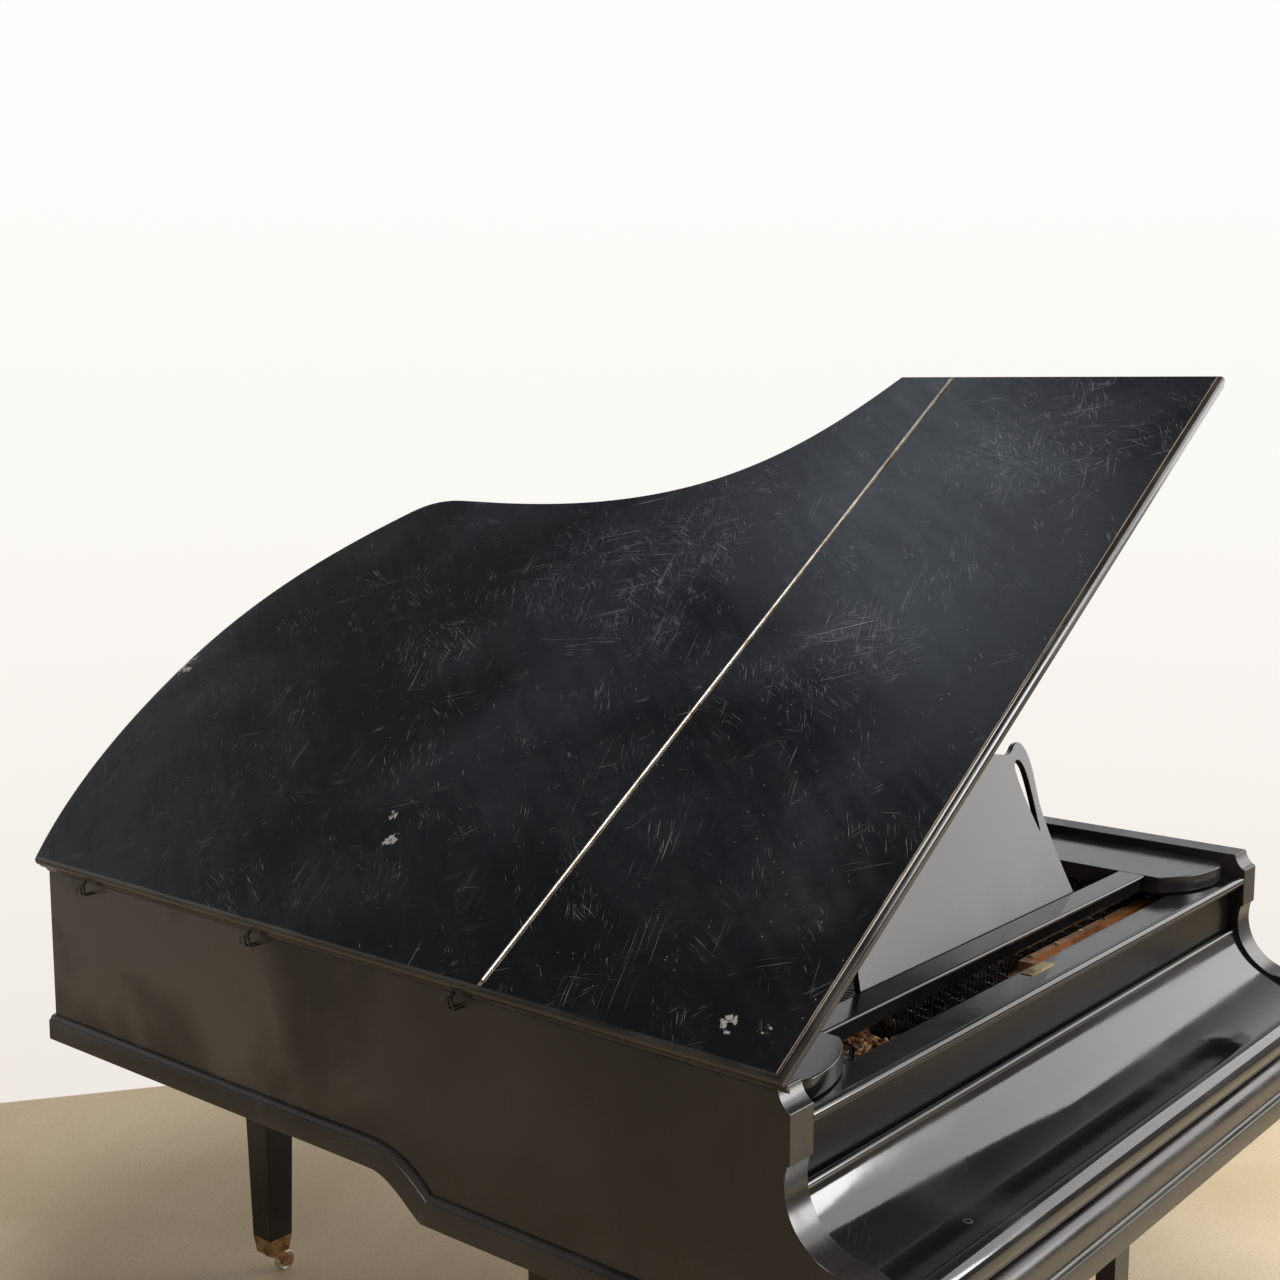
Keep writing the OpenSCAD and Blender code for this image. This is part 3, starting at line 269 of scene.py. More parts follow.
def eased(low: float, high: float, radius: float, steps: int = 3) -> list[Flat]:
    """Insets and heights of an edge that is rounded at both faces.

    Args:
        low, high: the two faces.
        radius: radius of the rounding.
        steps: spans of each rounding.

    Returns:
        Pairs of inset and height.
    """
    quarter = [math.radians(90 * i / steps) for i in range(steps + 1)]
    foot = [(radius * (1 - math.sin(a)), low + radius * (1 - math.cos(a))) for a in quarter]
    return foot + [(d, high + low - z) for d, z in reversed(foot)]


class Pile:
    """Collects the points and faces of one mesh, in the case's millimetres.

    Attributes:
        points: the points so far.
        faces: indices into the points.
        coats: material number of each face.
    """

    def __init__(self) -> None:
        """Starts empty."""
        self.points: list[Point] = []
        self.faces: list[tuple[int, ...]] = []
        self.coats: list[int] = []

    def add(self, points: Sequence[Point], faces: Sequence[Sequence[int]], coat: int = 0) -> None:
        """Adds points and faces.

        Args:
            points: new points.
            faces: indices into the new points.
            coat: material number of the faces.
        """
        base = len(self.points)
        self.points.extend(points)
        self.faces.extend(tuple(base + k for k in f) for f in faces)
        self.coats.extend([coat] * len(faces))

    def loft(self, rings: Sequence[Sequence[Point]], closed: bool = True, capped: bool = True,
             coat: int = 0) -> None:
        """Joins rings of equal count with faces.

        Args:
            rings: the rings, in order.
            closed: whether each ring closes on itself.
            capped: whether the first and last rings are filled.
            coat: material number of the faces.
        """
        n = len(rings[0])
        spans = n if closed else n - 1
        faces = [(r * n + k, r * n + (k + 1) % n, (r + 1) * n + (k + 1) % n, (r + 1) * n + k)
                 for r in range(len(rings) - 1) for k in range(spans)]
        if capped:
            last = (len(rings) - 1) * n
            faces += [tuple(range(n - 1, -1, -1)), tuple(range(last, last + n))]
        self.add([p for ring in rings for p in ring], faces, coat)

    def rod(self, a: Point, b: Point, radius: float, sides: int = 12, tip: float = 1.0) -> None:
        """Adds a straight rod.

        Args:
            a, b: its ends.
            radius: radius at the first end.
            sides: number of sides.
            tip: radius at the second end, as a share of the first.
        """
        self.cord([a, b], [radius, radius * tip], sides)

    def cord(self, line: Sequence[Point], radii: Sequence[float], sides: int = 8) -> None:
        """Adds a round bar along a line.

        Args:
            line: points of its middle.
            radii: radius at each point.
            sides: number of sides.
        """
        rings = []
        for i, here in enumerate(line):
            before, after = line[max(i - 1, 0)], line[min(i + 1, len(line) - 1)]
            way = (Vector(after) - Vector(before)).normalized()
            up = Vector((0, 0, 1)) if abs(way.z) < 0.9 else Vector((0, 1, 0))
            side = way.cross(up).normalized()
            rise = side.cross(way)
            turns = (math.tau * k / sides for k in range(sides))
            rings.append([tuple(Vector(here) + radii[i] * (math.cos(t) * side + math.sin(t) * rise))
                          for t in turns])
        self.loft(rings)

    def make(self, name: str, sharp: float = SHARP) -> bpy.types.Object:
        """Makes the object.

        Args:
            name: its name.
            sharp: edges that turn by more than this many degrees stay sharp.

        Returns:
            The new object, at the origin, with its mesh in the frame's metres.
        """
        mesh = bpy.data.meshes.new(name)
        mesh.from_pydata([AXES.at(*p) for p in self.points], [], self.faces)
        mesh.polygons.foreach_set("material_index", self.coats)
        return shaded(name, mesh, sharp)


def shaded(name: str, mesh: bpy.types.Mesh, sharp: float) -> bpy.types.Object:
    """Welds a mesh, turns its faces outwards, shades it and shows it.

    Args:
        name: the object's name.
        mesh: the mesh.
        sharp: edges that turn by more than this many degrees stay sharp.

    Returns:
        The new object.
    """
    shape = bmesh.new()
    shape.from_mesh(mesh)
    bmesh.ops.remove_doubles(shape, verts=shape.verts, dist=WELD)
    bmesh.ops.recalc_face_normals(shape, faces=shape.faces)
    shape.to_mesh(mesh)
    shape.free()
    mesh.polygons.foreach_set("use_smooth", [True] * len(mesh.polygons))
    mesh.set_sharp_from_angle(angle=math.radians(sharp))
    made = bpy.data.objects.new(name, mesh)
    bpy.context.scene.collection.objects.link(made)
    return made


def stacked(name: str, sections: Sequence[Section], profile: Sequence[Flat],
            placing: Placing = upright, coats: Sequence[int] = ()) -> bpy.types.Object:
    """A plate whose edge follows a profile, with any holes.

    Args:
        name: the object's name.
        sections: outer loop and holes, each as a function from an inset to a loop.
        profile: pairs of inset and height, from one face to the other.
        placing: turns the section's axes into the case's.
        coats: material number of each band of the edge, then of both faces.

    Returns:
        The new object.
    """
    pile = Pile()
    coats = coats or [0] * len(profile)
    for section in sections:
        rings = [[placing(u, v, z) for u, v in section(d)] for d, z in profile]
        for k in range(len(rings) - 1):
            pile.loft(rings[k:k + 2], capped=False, coat=coats[k])
    for d, z in (profile[0], profile[-1]):
        loops = [[Vector((u, v, 0)) for u, v in section(d)] for section in sections]
        flat = [placing(p.x, p.y, z) for loop in loops for p in loop]
        pile.add(flat, tessellate_polygon(loops), coats[-1])
    made = pile.make(name, 60)
    weigh = made.modifiers.new("weighted", "WEIGHTED_NORMAL")
    weigh.keep_sharp = True
    return made


def eased_edges(piece: bpy.types.Object, width: float, segments: int = 2) -> bpy.types.Object:
    """Rounds a piece's sharp edges.

    Args:
        piece: the object.
        width: width of the rounding in millimetres.
        segments: its number of spans.

    Returns:
        The same object.
    """
    bevel = piece.modifiers.new("eased", "BEVEL")
    bevel.width = width / MM
    bevel.segments = segments
    bevel.limit_method = "ANGLE"
    bevel.angle_limit = math.radians(SHARP)
    bevel.harden_normals = True
    return piece


def refined(node: str, width: float, segments: int = 2) -> bpy.types.Object:
    """A new piece with a CAD node's shape and its edges rounded.

    Args:
        node: the CAD node.
        width: width of the rounding in millimetres.
        segments: its number of spans.

    Returns:
        The new object.
    """
    mesh = frame["nodes"][node].data.copy()
    mesh.materials.clear()
    normals = mesh.attributes.get("custom_normal")
    if normals:
        mesh.attributes.remove(normals)
    shape = bmesh.new()
    shape.from_mesh(mesh)
    bmesh.ops.remove_doubles(shape, verts=shape.verts, dist=WELD)
    bmesh.ops.dissolve_limit(shape, angle_limit=FLAT_TURN, verts=shape.verts, edges=shape.edges)
    shape.to_mesh(mesh)
    shape.free()
    return eased_edges(shaded(node + "_made", mesh, SHARP), width, segments)


# ---------- finishes ----------

MIX_FACTOR, MIX_FIRST, MIX_SECOND, MIX_RESULT = 0, 6, 7, 2
Input = float | Sequence[float] | bpy.types.NodeSocket


def add_node(tree: bpy.types.NodeTree, kind: str, inputs: dict[str | int, Input],
             **settings: object) -> bpy.types.Node:
    """Adds a node to a material or a world.

    Args:
        tree: the node tree.
        kind: the node's type, without its prefix.
        inputs: a value or a socket for each named input.
        **settings: properties of the node.

    Returns:
        The node.
    """
    node = tree.nodes.new("ShaderNode" + kind)
    for key, value in settings.items():
        setattr(node, key, value)
    for key, value in inputs.items():
        set_input(tree, node.inputs[key], value)
    return node


def set_input(tree: bpy.types.NodeTree, socket: bpy.types.NodeSocket, value: Input) -> None:
    """Links a socket into an input, or sets the input to a value.

    Args:
        tree: the node tree.
        socket: the input.
        value: the socket or the value.
    """
    if isinstance(value, bpy.types.NodeSocket):
        tree.links.new(value, socket)
    else:
        socket.default_value = value


class Recipe:
    """Builds one material from nodes, around its principled shader.

    Attributes:
        material: the material.
        tree: its node tree.
        shader: its principled shader.
        coords: the object's own coordinates, in metres.
    """

    INPUTS = {"color": "Base Color", "roughness": "Roughness", "metallic": "Metallic",
              "specular": "Specular IOR Level", "sheen": "Sheen Weight"}

    def __init__(self, name: str) -> None:
        """Starts a material.

        Args:
            name: the material's name.
        """
        self.material = bpy.data.materials.new(name)
        self.material.use_nodes = True
        self.tree = self.material.node_tree
        self.shader = self.tree.nodes["Principled BSDF"]
        self.coords = self.add("TexCoord", {}).outputs["Object"]

    def add(self, kind: str, inputs: dict[str | int, Input], **settings: object) -> bpy.types.Node:
        """Adds a node to the material, as add_node does."""
        return add_node(self.tree, kind, inputs, **settings)

    def turned(self, turn: Point, size: Point, vector: bpy.types.NodeSocket | None = None,
               ) -> bpy.types.NodeSocket:
        """Coordinates turned by angles in degrees and then measured in units of size.

        Args:
            turn: angles about the three axes.
            size: the unit along each turned axis, in metres.
            vector: coordinates to start from, or the object's own.

        Returns:
            The new coordinates.
        """
        angles = tuple(math.radians(a) for a in turn)
        start = vector or self.coords
        return self.add("Mapping", {"Vector": start, "Rotation": angles, "Scale": size},
                        vector_type="TEXTURE").outputs[0]

    def noise(self, vector: bpy.types.NodeSocket, scale: float, detail: float = 3.0,
              distortion: float = 0.0) -> bpy.types.NodeSocket:
        """Cloudy noise from 0 to 1.

        Args:
            vector: coordinates.
            scale: clouds in each unit.
            detail: number of finer layers.
            distortion: how far the clouds are drawn out.

        Returns:
            The noise.
        """
        return self.add("TexNoise", {"Vector": vector, "Scale": scale, "Detail": detail,
                                     "Distortion": distortion}).outputs[0]

    def band(self, value: bpy.types.NodeSocket, low: float, high: float, first: float = 0.0,
             last: float = 1.0) -> bpy.types.NodeSocket:
        """A value carried smoothly from one range to another, and held outside it.

        Args:
            value: what is carried.
            low, high: the range it comes from.
            first, last: the range it goes to.

        Returns:
            The new value.
        """
        return self.add("MapRange", {"Value": value, "From Min": low, "From Max": high,
                                     "To Min": first, "To Max": last},
                        interpolation_type="SMOOTHSTEP").outputs[0]

    def work(self, step: Step, a: Input, b: Input = 0.0) -> bpy.types.NodeSocket:
        """Result of one arithmetic step."""
        return self.add("Math", {0: a, 1: b}, operation=step.value).outputs[0]

    def mixed(self, first: Input, second: Input, share: float) -> bpy.types.NodeSocket:
        """A value between two values.

        Args:
            first, second: the values.
            share: share of the second value.

        Returns:
            The value.
        """
        return self.work(Step.ADD, self.work(Step.MULTIPLY, first, 1 - share),
                         self.work(Step.MULTIPLY, second, share))

    def blend(self, factor: Input, first: Input, second: Input) -> bpy.types.NodeSocket:
        """A colour between two colours.

        Args:
            factor: share of the second colour.
            first, second: colours, as sockets or as three numbers.

        Returns:
            The colour.
        """
        a, b = ((*c, 1.0) if isinstance(c, tuple) else c for c in (first, second))
        return self.add("Mix", {MIX_FACTOR: factor, MIX_FIRST: a, MIX_SECOND: b},
                        data_type="RGBA").outputs[MIX_RESULT]

    def feed(self, **sockets: Input) -> None:
        """Sets or links the shader's inputs, by the short names in INPUTS."""
        for key, value in sockets.items():
            set_input(self.tree, self.shader.inputs[self.INPUTS[key]], value)

    def bump(self, height: bpy.types.NodeSocket, depth: float) -> None:
        """Raises the surface by a height from 0 to 1, at most depth metres."""
        node = self.add("Bump", {"Height": height, "Distance": depth, "Strength": 1.0})
        self.tree.links.new(node.outputs[0], self.shader.inputs["Normal"])


@dataclass(frozen=True)
class WornLine:
    """A straight line along X where the lacquer is rubbed down to the wood.

    Attributes:
        y: its place in the frame, in metres.
        width: half of its width, in metres.
        strength: how bare it is, from 0 to 1.
    """

    y: float
    width: float
    strength: float = 1.0


@dataclass(frozen=True)
class Spot:
    """A place with marks around it.

    Attributes:
        place: its point in the frame, in metres.
        reach: how far its marks reach, in metres.
    """

    place: Point
    reach: float


@dataclass(frozen=True)
class Scratches:
    """Fine scratches that run one way, in groups.

    Attributes:
        way: their angle in the surface, in degrees.
        length, width: size of one scratch, in metres.
        groups: groups in each metre.
        sparse: how few of them there are, from 0 to 1.
    """

    way: float
    length: float
    width: float
    groups: float
    sparse: float

    @property
    def swept(self) -> bool:
        """Whether they are long enough to follow the sweep of a cloth."""
        return self.length > 0.1


OLD_SCRATCHES = (Scratches(28, 0.045, 0.0009, 7.0, 0.565), Scratches(64, 0.060, 0.0009, 5.5, 0.585),
                 Scratches(-35, 0.030, 0.0009, 11.0, 0.605), Scratches(100, 0.070, 0.0010, 6.4, 0.605),
                 Scratches(44, 0.030, 0.0011, 15.0, 0.575), Scratches(15, 0.240, 0.0012, 7.6, 0.595),
                 Scratches(-62, 0.200, 0.0011, 8.9, 0.605))


@dataclass(frozen=True)
class Lacquer:
    """Old black lacquer: gloss with hazed patches, dust, scratches and rubbed edges.

    Attributes:
        name: the material's name.
        tone, haze: colours of the clean lacquer and of its hazed patches; on the spine the pale haze is a
            painted reflection.
        gloss, dull: roughness of the cleanest and of the most hazed places.
        clouds: hazed patches in each metre.
        spread: how softly the patches fade.
        base_haze: share of the haze away from the busy spots.
        shine: specular level.
        tilt: slope of the surface about Y, in degrees.
        brushed: how unevenly wiping has dulled it.
        scratched: strength of the scratches and dust.
        busy: spots with more haze and more scratches; on the spine they spread the painted reflection
            toward the rear.
        scuffs: spots where the finish is scuffed off.
        worn: lines rubbed down to the wood.
        mark, scuff, wood: colours of scratches, of scuffs and of bare wood.
    """

    name: str
    tone: Tone = (0.006, 0.006, 0.0068)
    haze: Tone = (0.022, 0.023, 0.026)
    gloss: float = 0.16
    dull: float = 0.34
    clouds: float = 2.6
    scratched: float = 0.0
    spread: float = 0.15
    base_haze: float = 1.0
    shine: float = 0.5
    tilt: float = 0.0
    brushed: float = 0.0
    busy: tuple[Spot, ...] = ()
    scuffs: tuple[Spot, ...] = ()
    worn: tuple[WornLine, ...] = ()
    mark: Tone = (0.36, 0.36, 0.37)
    scuff: Tone = (0.30, 0.29, 0.27)
    wood: Tone = (0.30, 0.205, 0.13)

    def near(self, recipe: Recipe, spots: Sequence[Spot]) -> Input:
        """Mask that is 1 at some spots and fades out at their reach.

        Args:
            recipe: the material's recipe.
            spots: the spots.

        Returns:
            The mask.
        """
        mask: Input = 0.0
        for spot in spots:
            away = recipe.add("VectorMath", {0: recipe.coords, 1: spot.place},
                              operation="DISTANCE").outputs["Value"]
            fading = recipe.band(away, 0.2 * spot.reach, spot.reach, 1.0, 0.0)
            mask = recipe.work(Step.MAXIMUM, mask, fading)
        return mask

    def scratches(self, recipe: Recipe, plane: bpy.types.NodeSocket) -> Input:
        """Mask of fine scratches that run several ways, long arcs and dust.

        Args:
            recipe: the material's recipe.
            plane: coordinates in the surface's plane.

        Returns:
            The mask.
        """
        mask: Input = 0.0
        crowd = recipe.work(Step.MULTIPLY, self.near(recipe, self.busy), 0.13)
        bent = recipe.add("TexNoise", {"Vector": plane, "Scale": 3.0}).outputs[1]
        small = recipe.add("VectorMath", {0: bent, "Scale": 0.05}, operation="SCALE").outputs[0]
        warped = recipe.add("VectorMath", {0: plane, 1: small}, operation="ADD").outputs[0]
        for kind in OLD_SCRATCHES:
            turn, size = (0, 0, kind.way), (kind.length, kind.width, 0.3)
            streak = recipe.noise(recipe.turned(turn, size, warped if kind.swept else plane), 1.0, 1.5)
            group = recipe.noise(recipe.turned(turn, (1, 0.6, 1), plane), kind.groups, 2.0)
            grouped = recipe.band(recipe.work(Step.ADD, group, crowd), kind.sparse, kind.sparse + 0.125)
            lines = recipe.work(Step.MULTIPLY, recipe.band(streak, 0.655, 0.74), grouped)
            mask = recipe.work(Step.MAXIMUM, mask, lines)
        dots = recipe.add("TexVoronoi", {"Vector": plane, "Scale": 62.0}).outputs[0]
        dusty = recipe.band(recipe.noise(plane, 11.0, 2.0), 0.47, 0.6)
        dust = recipe.work(Step.MULTIPLY, recipe.band(dots, 0.05, 0.085, 1.0, 0.0), dusty)
        return recipe.work(Step.MAXIMUM, mask, recipe.work(Step.MULTIPLY, dust, 0.8))

    def rubbed(self, recipe: Recipe) -> Input:
        """Mask of the worn lines, with ragged borders.

        Args:
            recipe: the material's recipe.

        Returns:
            The mask.
        """
        mask: Input = 0.0
        along = recipe.add("SeparateXYZ", {"Vector": recipe.coords}).outputs["Y"]
        ragged = recipe.noise(recipe.turned((0, self.tilt, 0), (0.05, 0.006, 1)), 1.0, 3.0)
        for line in self.worn:
            away = recipe.work(Step.ABSOLUTE, recipe.work(Step.SUBTRACT, along, line.y))
            reach = recipe.band(ragged, 0.3, 0.7, 0.6 * line.width, line.width)
            bare = recipe.work(Step.MULTIPLY, recipe.work(Step.LESS_THAN, away, reach), line.strength)
            mask = recipe.work(Step.MAXIMUM, mask, bare)
        return mask

    def scuffed(self, recipe: Recipe, plane: bpy.types.NodeSocket) -> Input:
        """Mask of ragged scuffs at the scuffed spots.

        Args:
            recipe: the material's recipe.
            plane: coordinates in the surface's plane.

        Returns:
            The mask.
        """
        reach = recipe.work(Step.MULTIPLY, self.near(recipe, self.scuffs), 0.3)
        grit = recipe.work(Step.ADD, recipe.noise(plane, 85.0, 5.0, 0.9), reach)
        return recipe.work(Step.MULTIPLY, recipe.band(grit, 0.76, 0.84), 0.85)

    def hazed(self, recipe: Recipe, clouds: bpy.types.NodeSocket) -> Input:
        """Mask of the hazed patches; on the spine side it also places the painted reflection.

        Args:
            recipe: the material's recipe.
            clouds: the patches' noise.

        Returns:
            The mask.
        """
        mask = recipe.band(clouds, 0.53 - self.spread, 0.53 + self.spread)
        if self.busy:
            local = recipe.work(Step.MULTIPLY, self.near(recipe, self.busy), recipe.band(clouds, 0.36, 0.6))
            mask = recipe.work(Step.ADD, local, recipe.work(Step.MULTIPLY, mask, self.base_haze))
        return mask

    @cache
    def material(self) -> bpy.types.Material:
        """The finish as a material.

        Returns:
            The material, which is made once.
        """
        recipe = Recipe(self.name)
        plane = recipe.turned((0, self.tilt, 0), (1, 1, 1))
        clouds = recipe.noise(plane, self.clouds, 4.0, 0.6)
        fine = recipe.noise(plane, 60.0, 3.0)
        color = recipe.blend(self.hazed(recipe, clouds), self.tone, self.haze)
        rough = recipe.band(recipe.work(Step.ADD, clouds, recipe.work(Step.MULTIPLY, fine, 0.22)),
                            0.42, 0.82, self.gloss, self.dull)
        if self.brushed:
            wipes = recipe.noise(recipe.turned((0, 0, 52), (0.16, 0.022, 1), plane), 1.0, 3.0)
            uneven = recipe.work(Step.MULTIPLY, recipe.work(Step.SUBTRACT, wipes, 0.5), self.brushed)
            rough = recipe.work(Step.ADD, rough, uneven)
        if self.scratched:
            mask = recipe.work(Step.MULTIPLY, self.scratches(recipe, plane), self.scratched)
            color = recipe.blend(mask, color, self.mark)
            rough = recipe.work(Step.MAXIMUM, rough, recipe.work(Step.MULTIPLY, mask, 0.5))
        if self.scuffs:
            color = recipe.blend(self.scuffed(recipe, plane), color, self.scuff)
        if self.worn:
            bare = self.rubbed(recipe)
            wood = recipe.blend(fine, self.wood, tuple(0.55 * c for c in self.wood))
            color = recipe.blend(bare, color, wood)
            rough = recipe.work(Step.MAXIMUM, rough, recipe.work(Step.MULTIPLY, bare, 0.6))
        recipe.feed(color=color, roughness=rough, specular=self.shine)
        recipe.bump(recipe.noise(plane, 45.0, 2.0), 0.00006)
        return recipe.material


@dataclass(frozen=True)
class Metal:
    """Metal with tarnish in its hollows and fine rubbing marks.

    Attributes:
        name: the material's name.
        tone, tarnish: colours of the bright and of the tarnished metal.
        gloss, dull: lowest and highest roughness.
        marks: tarnished patches in each metre.
        grain: depth of the surface's fine grain, in metres.
    """

    name: str
    tone: Tone
    tarnish: Tone
    gloss: float = 0.25
    dull: float = 0.5
    marks: float = 30.0
    grain: float = 0.00004

    @cache
    def material(self) -> bpy.types.Material:
        """The finish as a material.

        Returns:
            The material, which is made once.
        """
        recipe = Recipe(self.name)
        clouds = recipe.noise(recipe.coords, self.marks, 4.0, 0.4)
        rubbed = recipe.noise(recipe.turned((0, 0, 20), (0.02, 0.0015, 0.004)), 1.0, 2.0)
        old = recipe.band(clouds, 0.4, 0.66)
        recipe.feed(color=recipe.blend(old, self.tone, self.tarnish), metallic=1.0,
                    roughness=recipe.band(recipe.work(Step.ADD, clouds, rubbed), 0.8, 1.3, self.gloss,
                                          self.dull))
        recipe.bump(recipe.noise(recipe.coords, 900.0, 2.0), self.grain)
        return recipe.material


@dataclass(frozen=True)
class Paint:
    """Bronze paint over cast iron: a sandy casting skin with darker hollows.

    Attributes:
        name: the material's name.
        tone, deep: colours of the paint and of its hollows.
    """

    name: str
    tone: Tone = (0.40, 0.20, 0.085)
    deep: Tone = (0.16, 0.075, 0.032)

    @cache
    def material(self) -> bpy.types.Material:
        """The finish as a material.

        Returns:
            The material, which is made once.
        """
        recipe = Recipe(self.name)
        sand = recipe.noise(recipe.coords, 420.0, 3.0)
        clouds = recipe.noise(recipe.coords, 14.0, 4.0, 0.5)
        recipe.feed(color=recipe.blend(recipe.band(clouds, 0.4, 0.68), self.tone, self.deep),
                    metallic=0.4, roughness=recipe.band(sand, 0.3, 0.7, 0.34, 0.55))
        recipe.bump(sand, 0.0003)
        return recipe.material


@dataclass(frozen=True)
class Timber:
    """Wood with grain along Y.

    Attributes:
        name: the material's name.
        pale, dark: colours of the early and of the late wood.
        gloss: lowest roughness.
        turn: turns the grain away from Y, in degrees.
    """

    name: str
    pale: Tone
    dark: Tone
    gloss: float = 0.42
    turn: float = 0.0

    @cache
    def material(self) -> bpy.types.Material:
        """The finish as a material.

        Returns:
            The material, which is made once.
        """
        recipe = Recipe(self.name)
        grain = recipe.noise(recipe.turned((0, 0, self.turn), (0.004, 0.16, 0.004)), 1.0, 4.0, 0.4)
        rings = recipe.noise(recipe.turned((0, 0, self.turn), (0.03, 0.9, 0.03)), 1.0, 2.0)
        mixed = recipe.mixed(grain, rings, 0.4)
        recipe.feed(color=recipe.blend(recipe.band(mixed, 0.36, 0.64), self.pale, self.dark),
                    roughness=recipe.band(grain, 0.3, 0.7, self.gloss, self.gloss + 0.14))
        recipe.bump(grain, 0.00012)
        return recipe.material


@dataclass(frozen=True)
class Felt:
    """Pressed wool.

    Attributes:
        name: the material's name.
        tone, worn: colours of the fresh and of the worn wool.
    """

    name: str
    tone: Tone
    worn: Tone

    @cache
    def material(self) -> bpy.types.Material:
        """The finish as a material.

        Returns:
            The material, which is made once.
        """
        recipe = Recipe(self.name)
        wool = recipe.noise(recipe.coords, 700.0, 4.0, 1.0)
        recipe.feed(color=recipe.blend(wool, self.tone, self.worn), sheen=0.5,
                    roughness=recipe.band(wool, 0.3, 0.7, 0.85, 0.98))
        recipe.bump(wool, 0.0004)
        return recipe.material


@dataclass(frozen=True)
class KeyCover:
    """Ivory-like key covers, yellowed unevenly and faintly lined.

    Attributes:
        name: the material's name.
        tone, yellowed: colours of the palest and of the most yellowed keys.
    """

    name: str
    tone: Tone = (0.76, 0.70, 0.55)
    yellowed: Tone = (0.66, 0.56, 0.36)

    @cache
    def material(self) -> bpy.types.Material:
        """The finish as a material.

        Returns:
            The material, which is made once.
        """
        recipe = Recipe(self.name)
        lines = recipe.noise(recipe.turned((0, 0, 0), (0.0015, 0.06, 0.01)), 1.0, 3.0)
        keys = recipe.noise(recipe.turned((0, 0, 0), (0.03, 0.3, 0.3)), 1.0, 2.0)
        mixed = recipe.mixed(lines, keys, 0.65)
        recipe.feed(color=recipe.blend(recipe.band(mixed, 0.35, 0.65), self.tone, self.yellowed),
                    roughness=recipe.band(lines, 0.3, 0.7, 0.2, 0.34))
        recipe.bump(lines, 0.00003)
        return recipe.material


@dataclass(frozen=True)
class Concrete:
    """Ground and sealed concrete: fine aggregate, stains and trowel sweeps.

    Attributes:
        name: the material's name.
        pale, dark, speck: colours of the ground, of its stains and of the sand in it.
    """

    name: str
    pale: Tone = (0.71, 0.578, 0.39)
    dark: Tone = (0.60, 0.475, 0.305)
    speck: Tone = (0.33, 0.26, 0.17)

    @cache
    def material(self) -> bpy.types.Material:
        """The finish as a material.

        Returns:
            The material, which is made once.
        """
        recipe = Recipe(self.name)
        stains = recipe.noise(recipe.coords, 1.1, 5.0, 0.8)
        sand = recipe.noise(recipe.coords, 160.0, 4.0)
        sweep = recipe.noise(recipe.turned((0, 0, 25), (0.9, 0.06, 1)), 1.0, 3.0)
        mixed = recipe.mixed(stains, sweep, 0.14)
        ground = recipe.blend(recipe.band(mixed, 0.36, 0.66), self.pale, self.dark)
        specks = recipe.band(sand, 0.5, 0.68)
        recipe.feed(color=recipe.blend(recipe.work(Step.MULTIPLY, specks, 0.3), ground, self.speck),
                    roughness=recipe.band(stains, 0.3, 0.7, 0.5, 0.68))
        recipe.bump(sand, 0.0005)
        return recipe.material


Finish = Lacquer | Metal | Paint | Timber | Felt | KeyCover | Concrete

SATIN = Lacquer("side_lacquer", (0.010, 0.0084, 0.0076), (0.048, 0.0415, 0.037), 0.2, 0.42, 3.4,
                0.06, spread=0.3)
# Painted reflection: the pale haze, strongest at two spots toward the rear and weak elsewhere, lightens the
# spine side toward its rear; its clouds are hazed smudges.
SPINE_PAINTED_REFLECTION = Lacquer("spine_lacquer_painted_reflection", (0.0072, 0.0062, 0.0058), (0.098, 0.085, 0.076), 0.2, 0.4, 3.0,
                0.06, spread=0.26, base_haze=0.32,
                busy=(Spot((-0.7306, 0.80, 1.0), 0.9), Spot((-0.7306, 0.40, 1.0), 0.6)))
# Painted shade: a darker, barely reflecting lacquer for the name board's face between its top board and the
# fallboard.
SHADED_BOARD_LACQUER = Lacquer("board_lacquer_painted_shade", (0.005, 0.005, 0.0052), (0.009, 0.0086, 0.0084), 0.2, 0.3, 3.0,
               shine=0.12)
BLACK = Lacquer("leg_lacquer", (0.005, 0.0045, 0.004), (0.013, 0.0112, 0.0100), 0.22, 0.36, 4.0,
                shine=0.35)
POLISHED = Lacquer("polished_lacquer", (0.006, 0.006, 0.0064), (0.018, 0.0172, 0.0166), 0.07, 0.17,
                   3.0, 0.08)
DUSTED = Lacquer("dusted_lacquer", (0.012, 0.0115, 0.011), (0.026, 0.0245, 0.023), 0.15, 0.24,
                 5.0, 0.05)
EDGE = Lacquer("edge_lacquer", (0.012, 0.0115, 0.011), (0.04, 0.037, 0.034), 0.14, 0.3, 6.0, 0.14)
NOSING = Lacquer("rubbed_nosing", (0.012, 0.0115, 0.011), (0.03, 0.028, 0.026), 0.10, 0.2, 9.0, 0.1)
PALE_MARK = Lacquer("rubbed_ring", (0.10, 0.098, 0.095), (0.16, 0.155, 0.15), 0.4, 0.6)
BRASS = Metal("aged_brass", (0.58, 0.42, 0.20), (0.26, 0.17, 0.08))
SABOT_BRASS = Metal("rubbed_brass", (0.44, 0.28, 0.14), (0.20, 0.12, 0.06), 0.3, 0.5, 60.0)
PALE_BRASS = Metal("pale_hinge_metal", (0.66, 0.60, 0.52), (0.34, 0.28, 0.22), 0.3, 0.5, 18.0)
BLACK_METAL = Metal("blackened_metal", (0.10, 0.095, 0.09), (0.05, 0.045, 0.04), 0.3, 0.5)
PIN_STEEL = Metal("blued_steel", (0.34, 0.345, 0.36), (0.14, 0.14, 0.145), 0.16, 0.34)
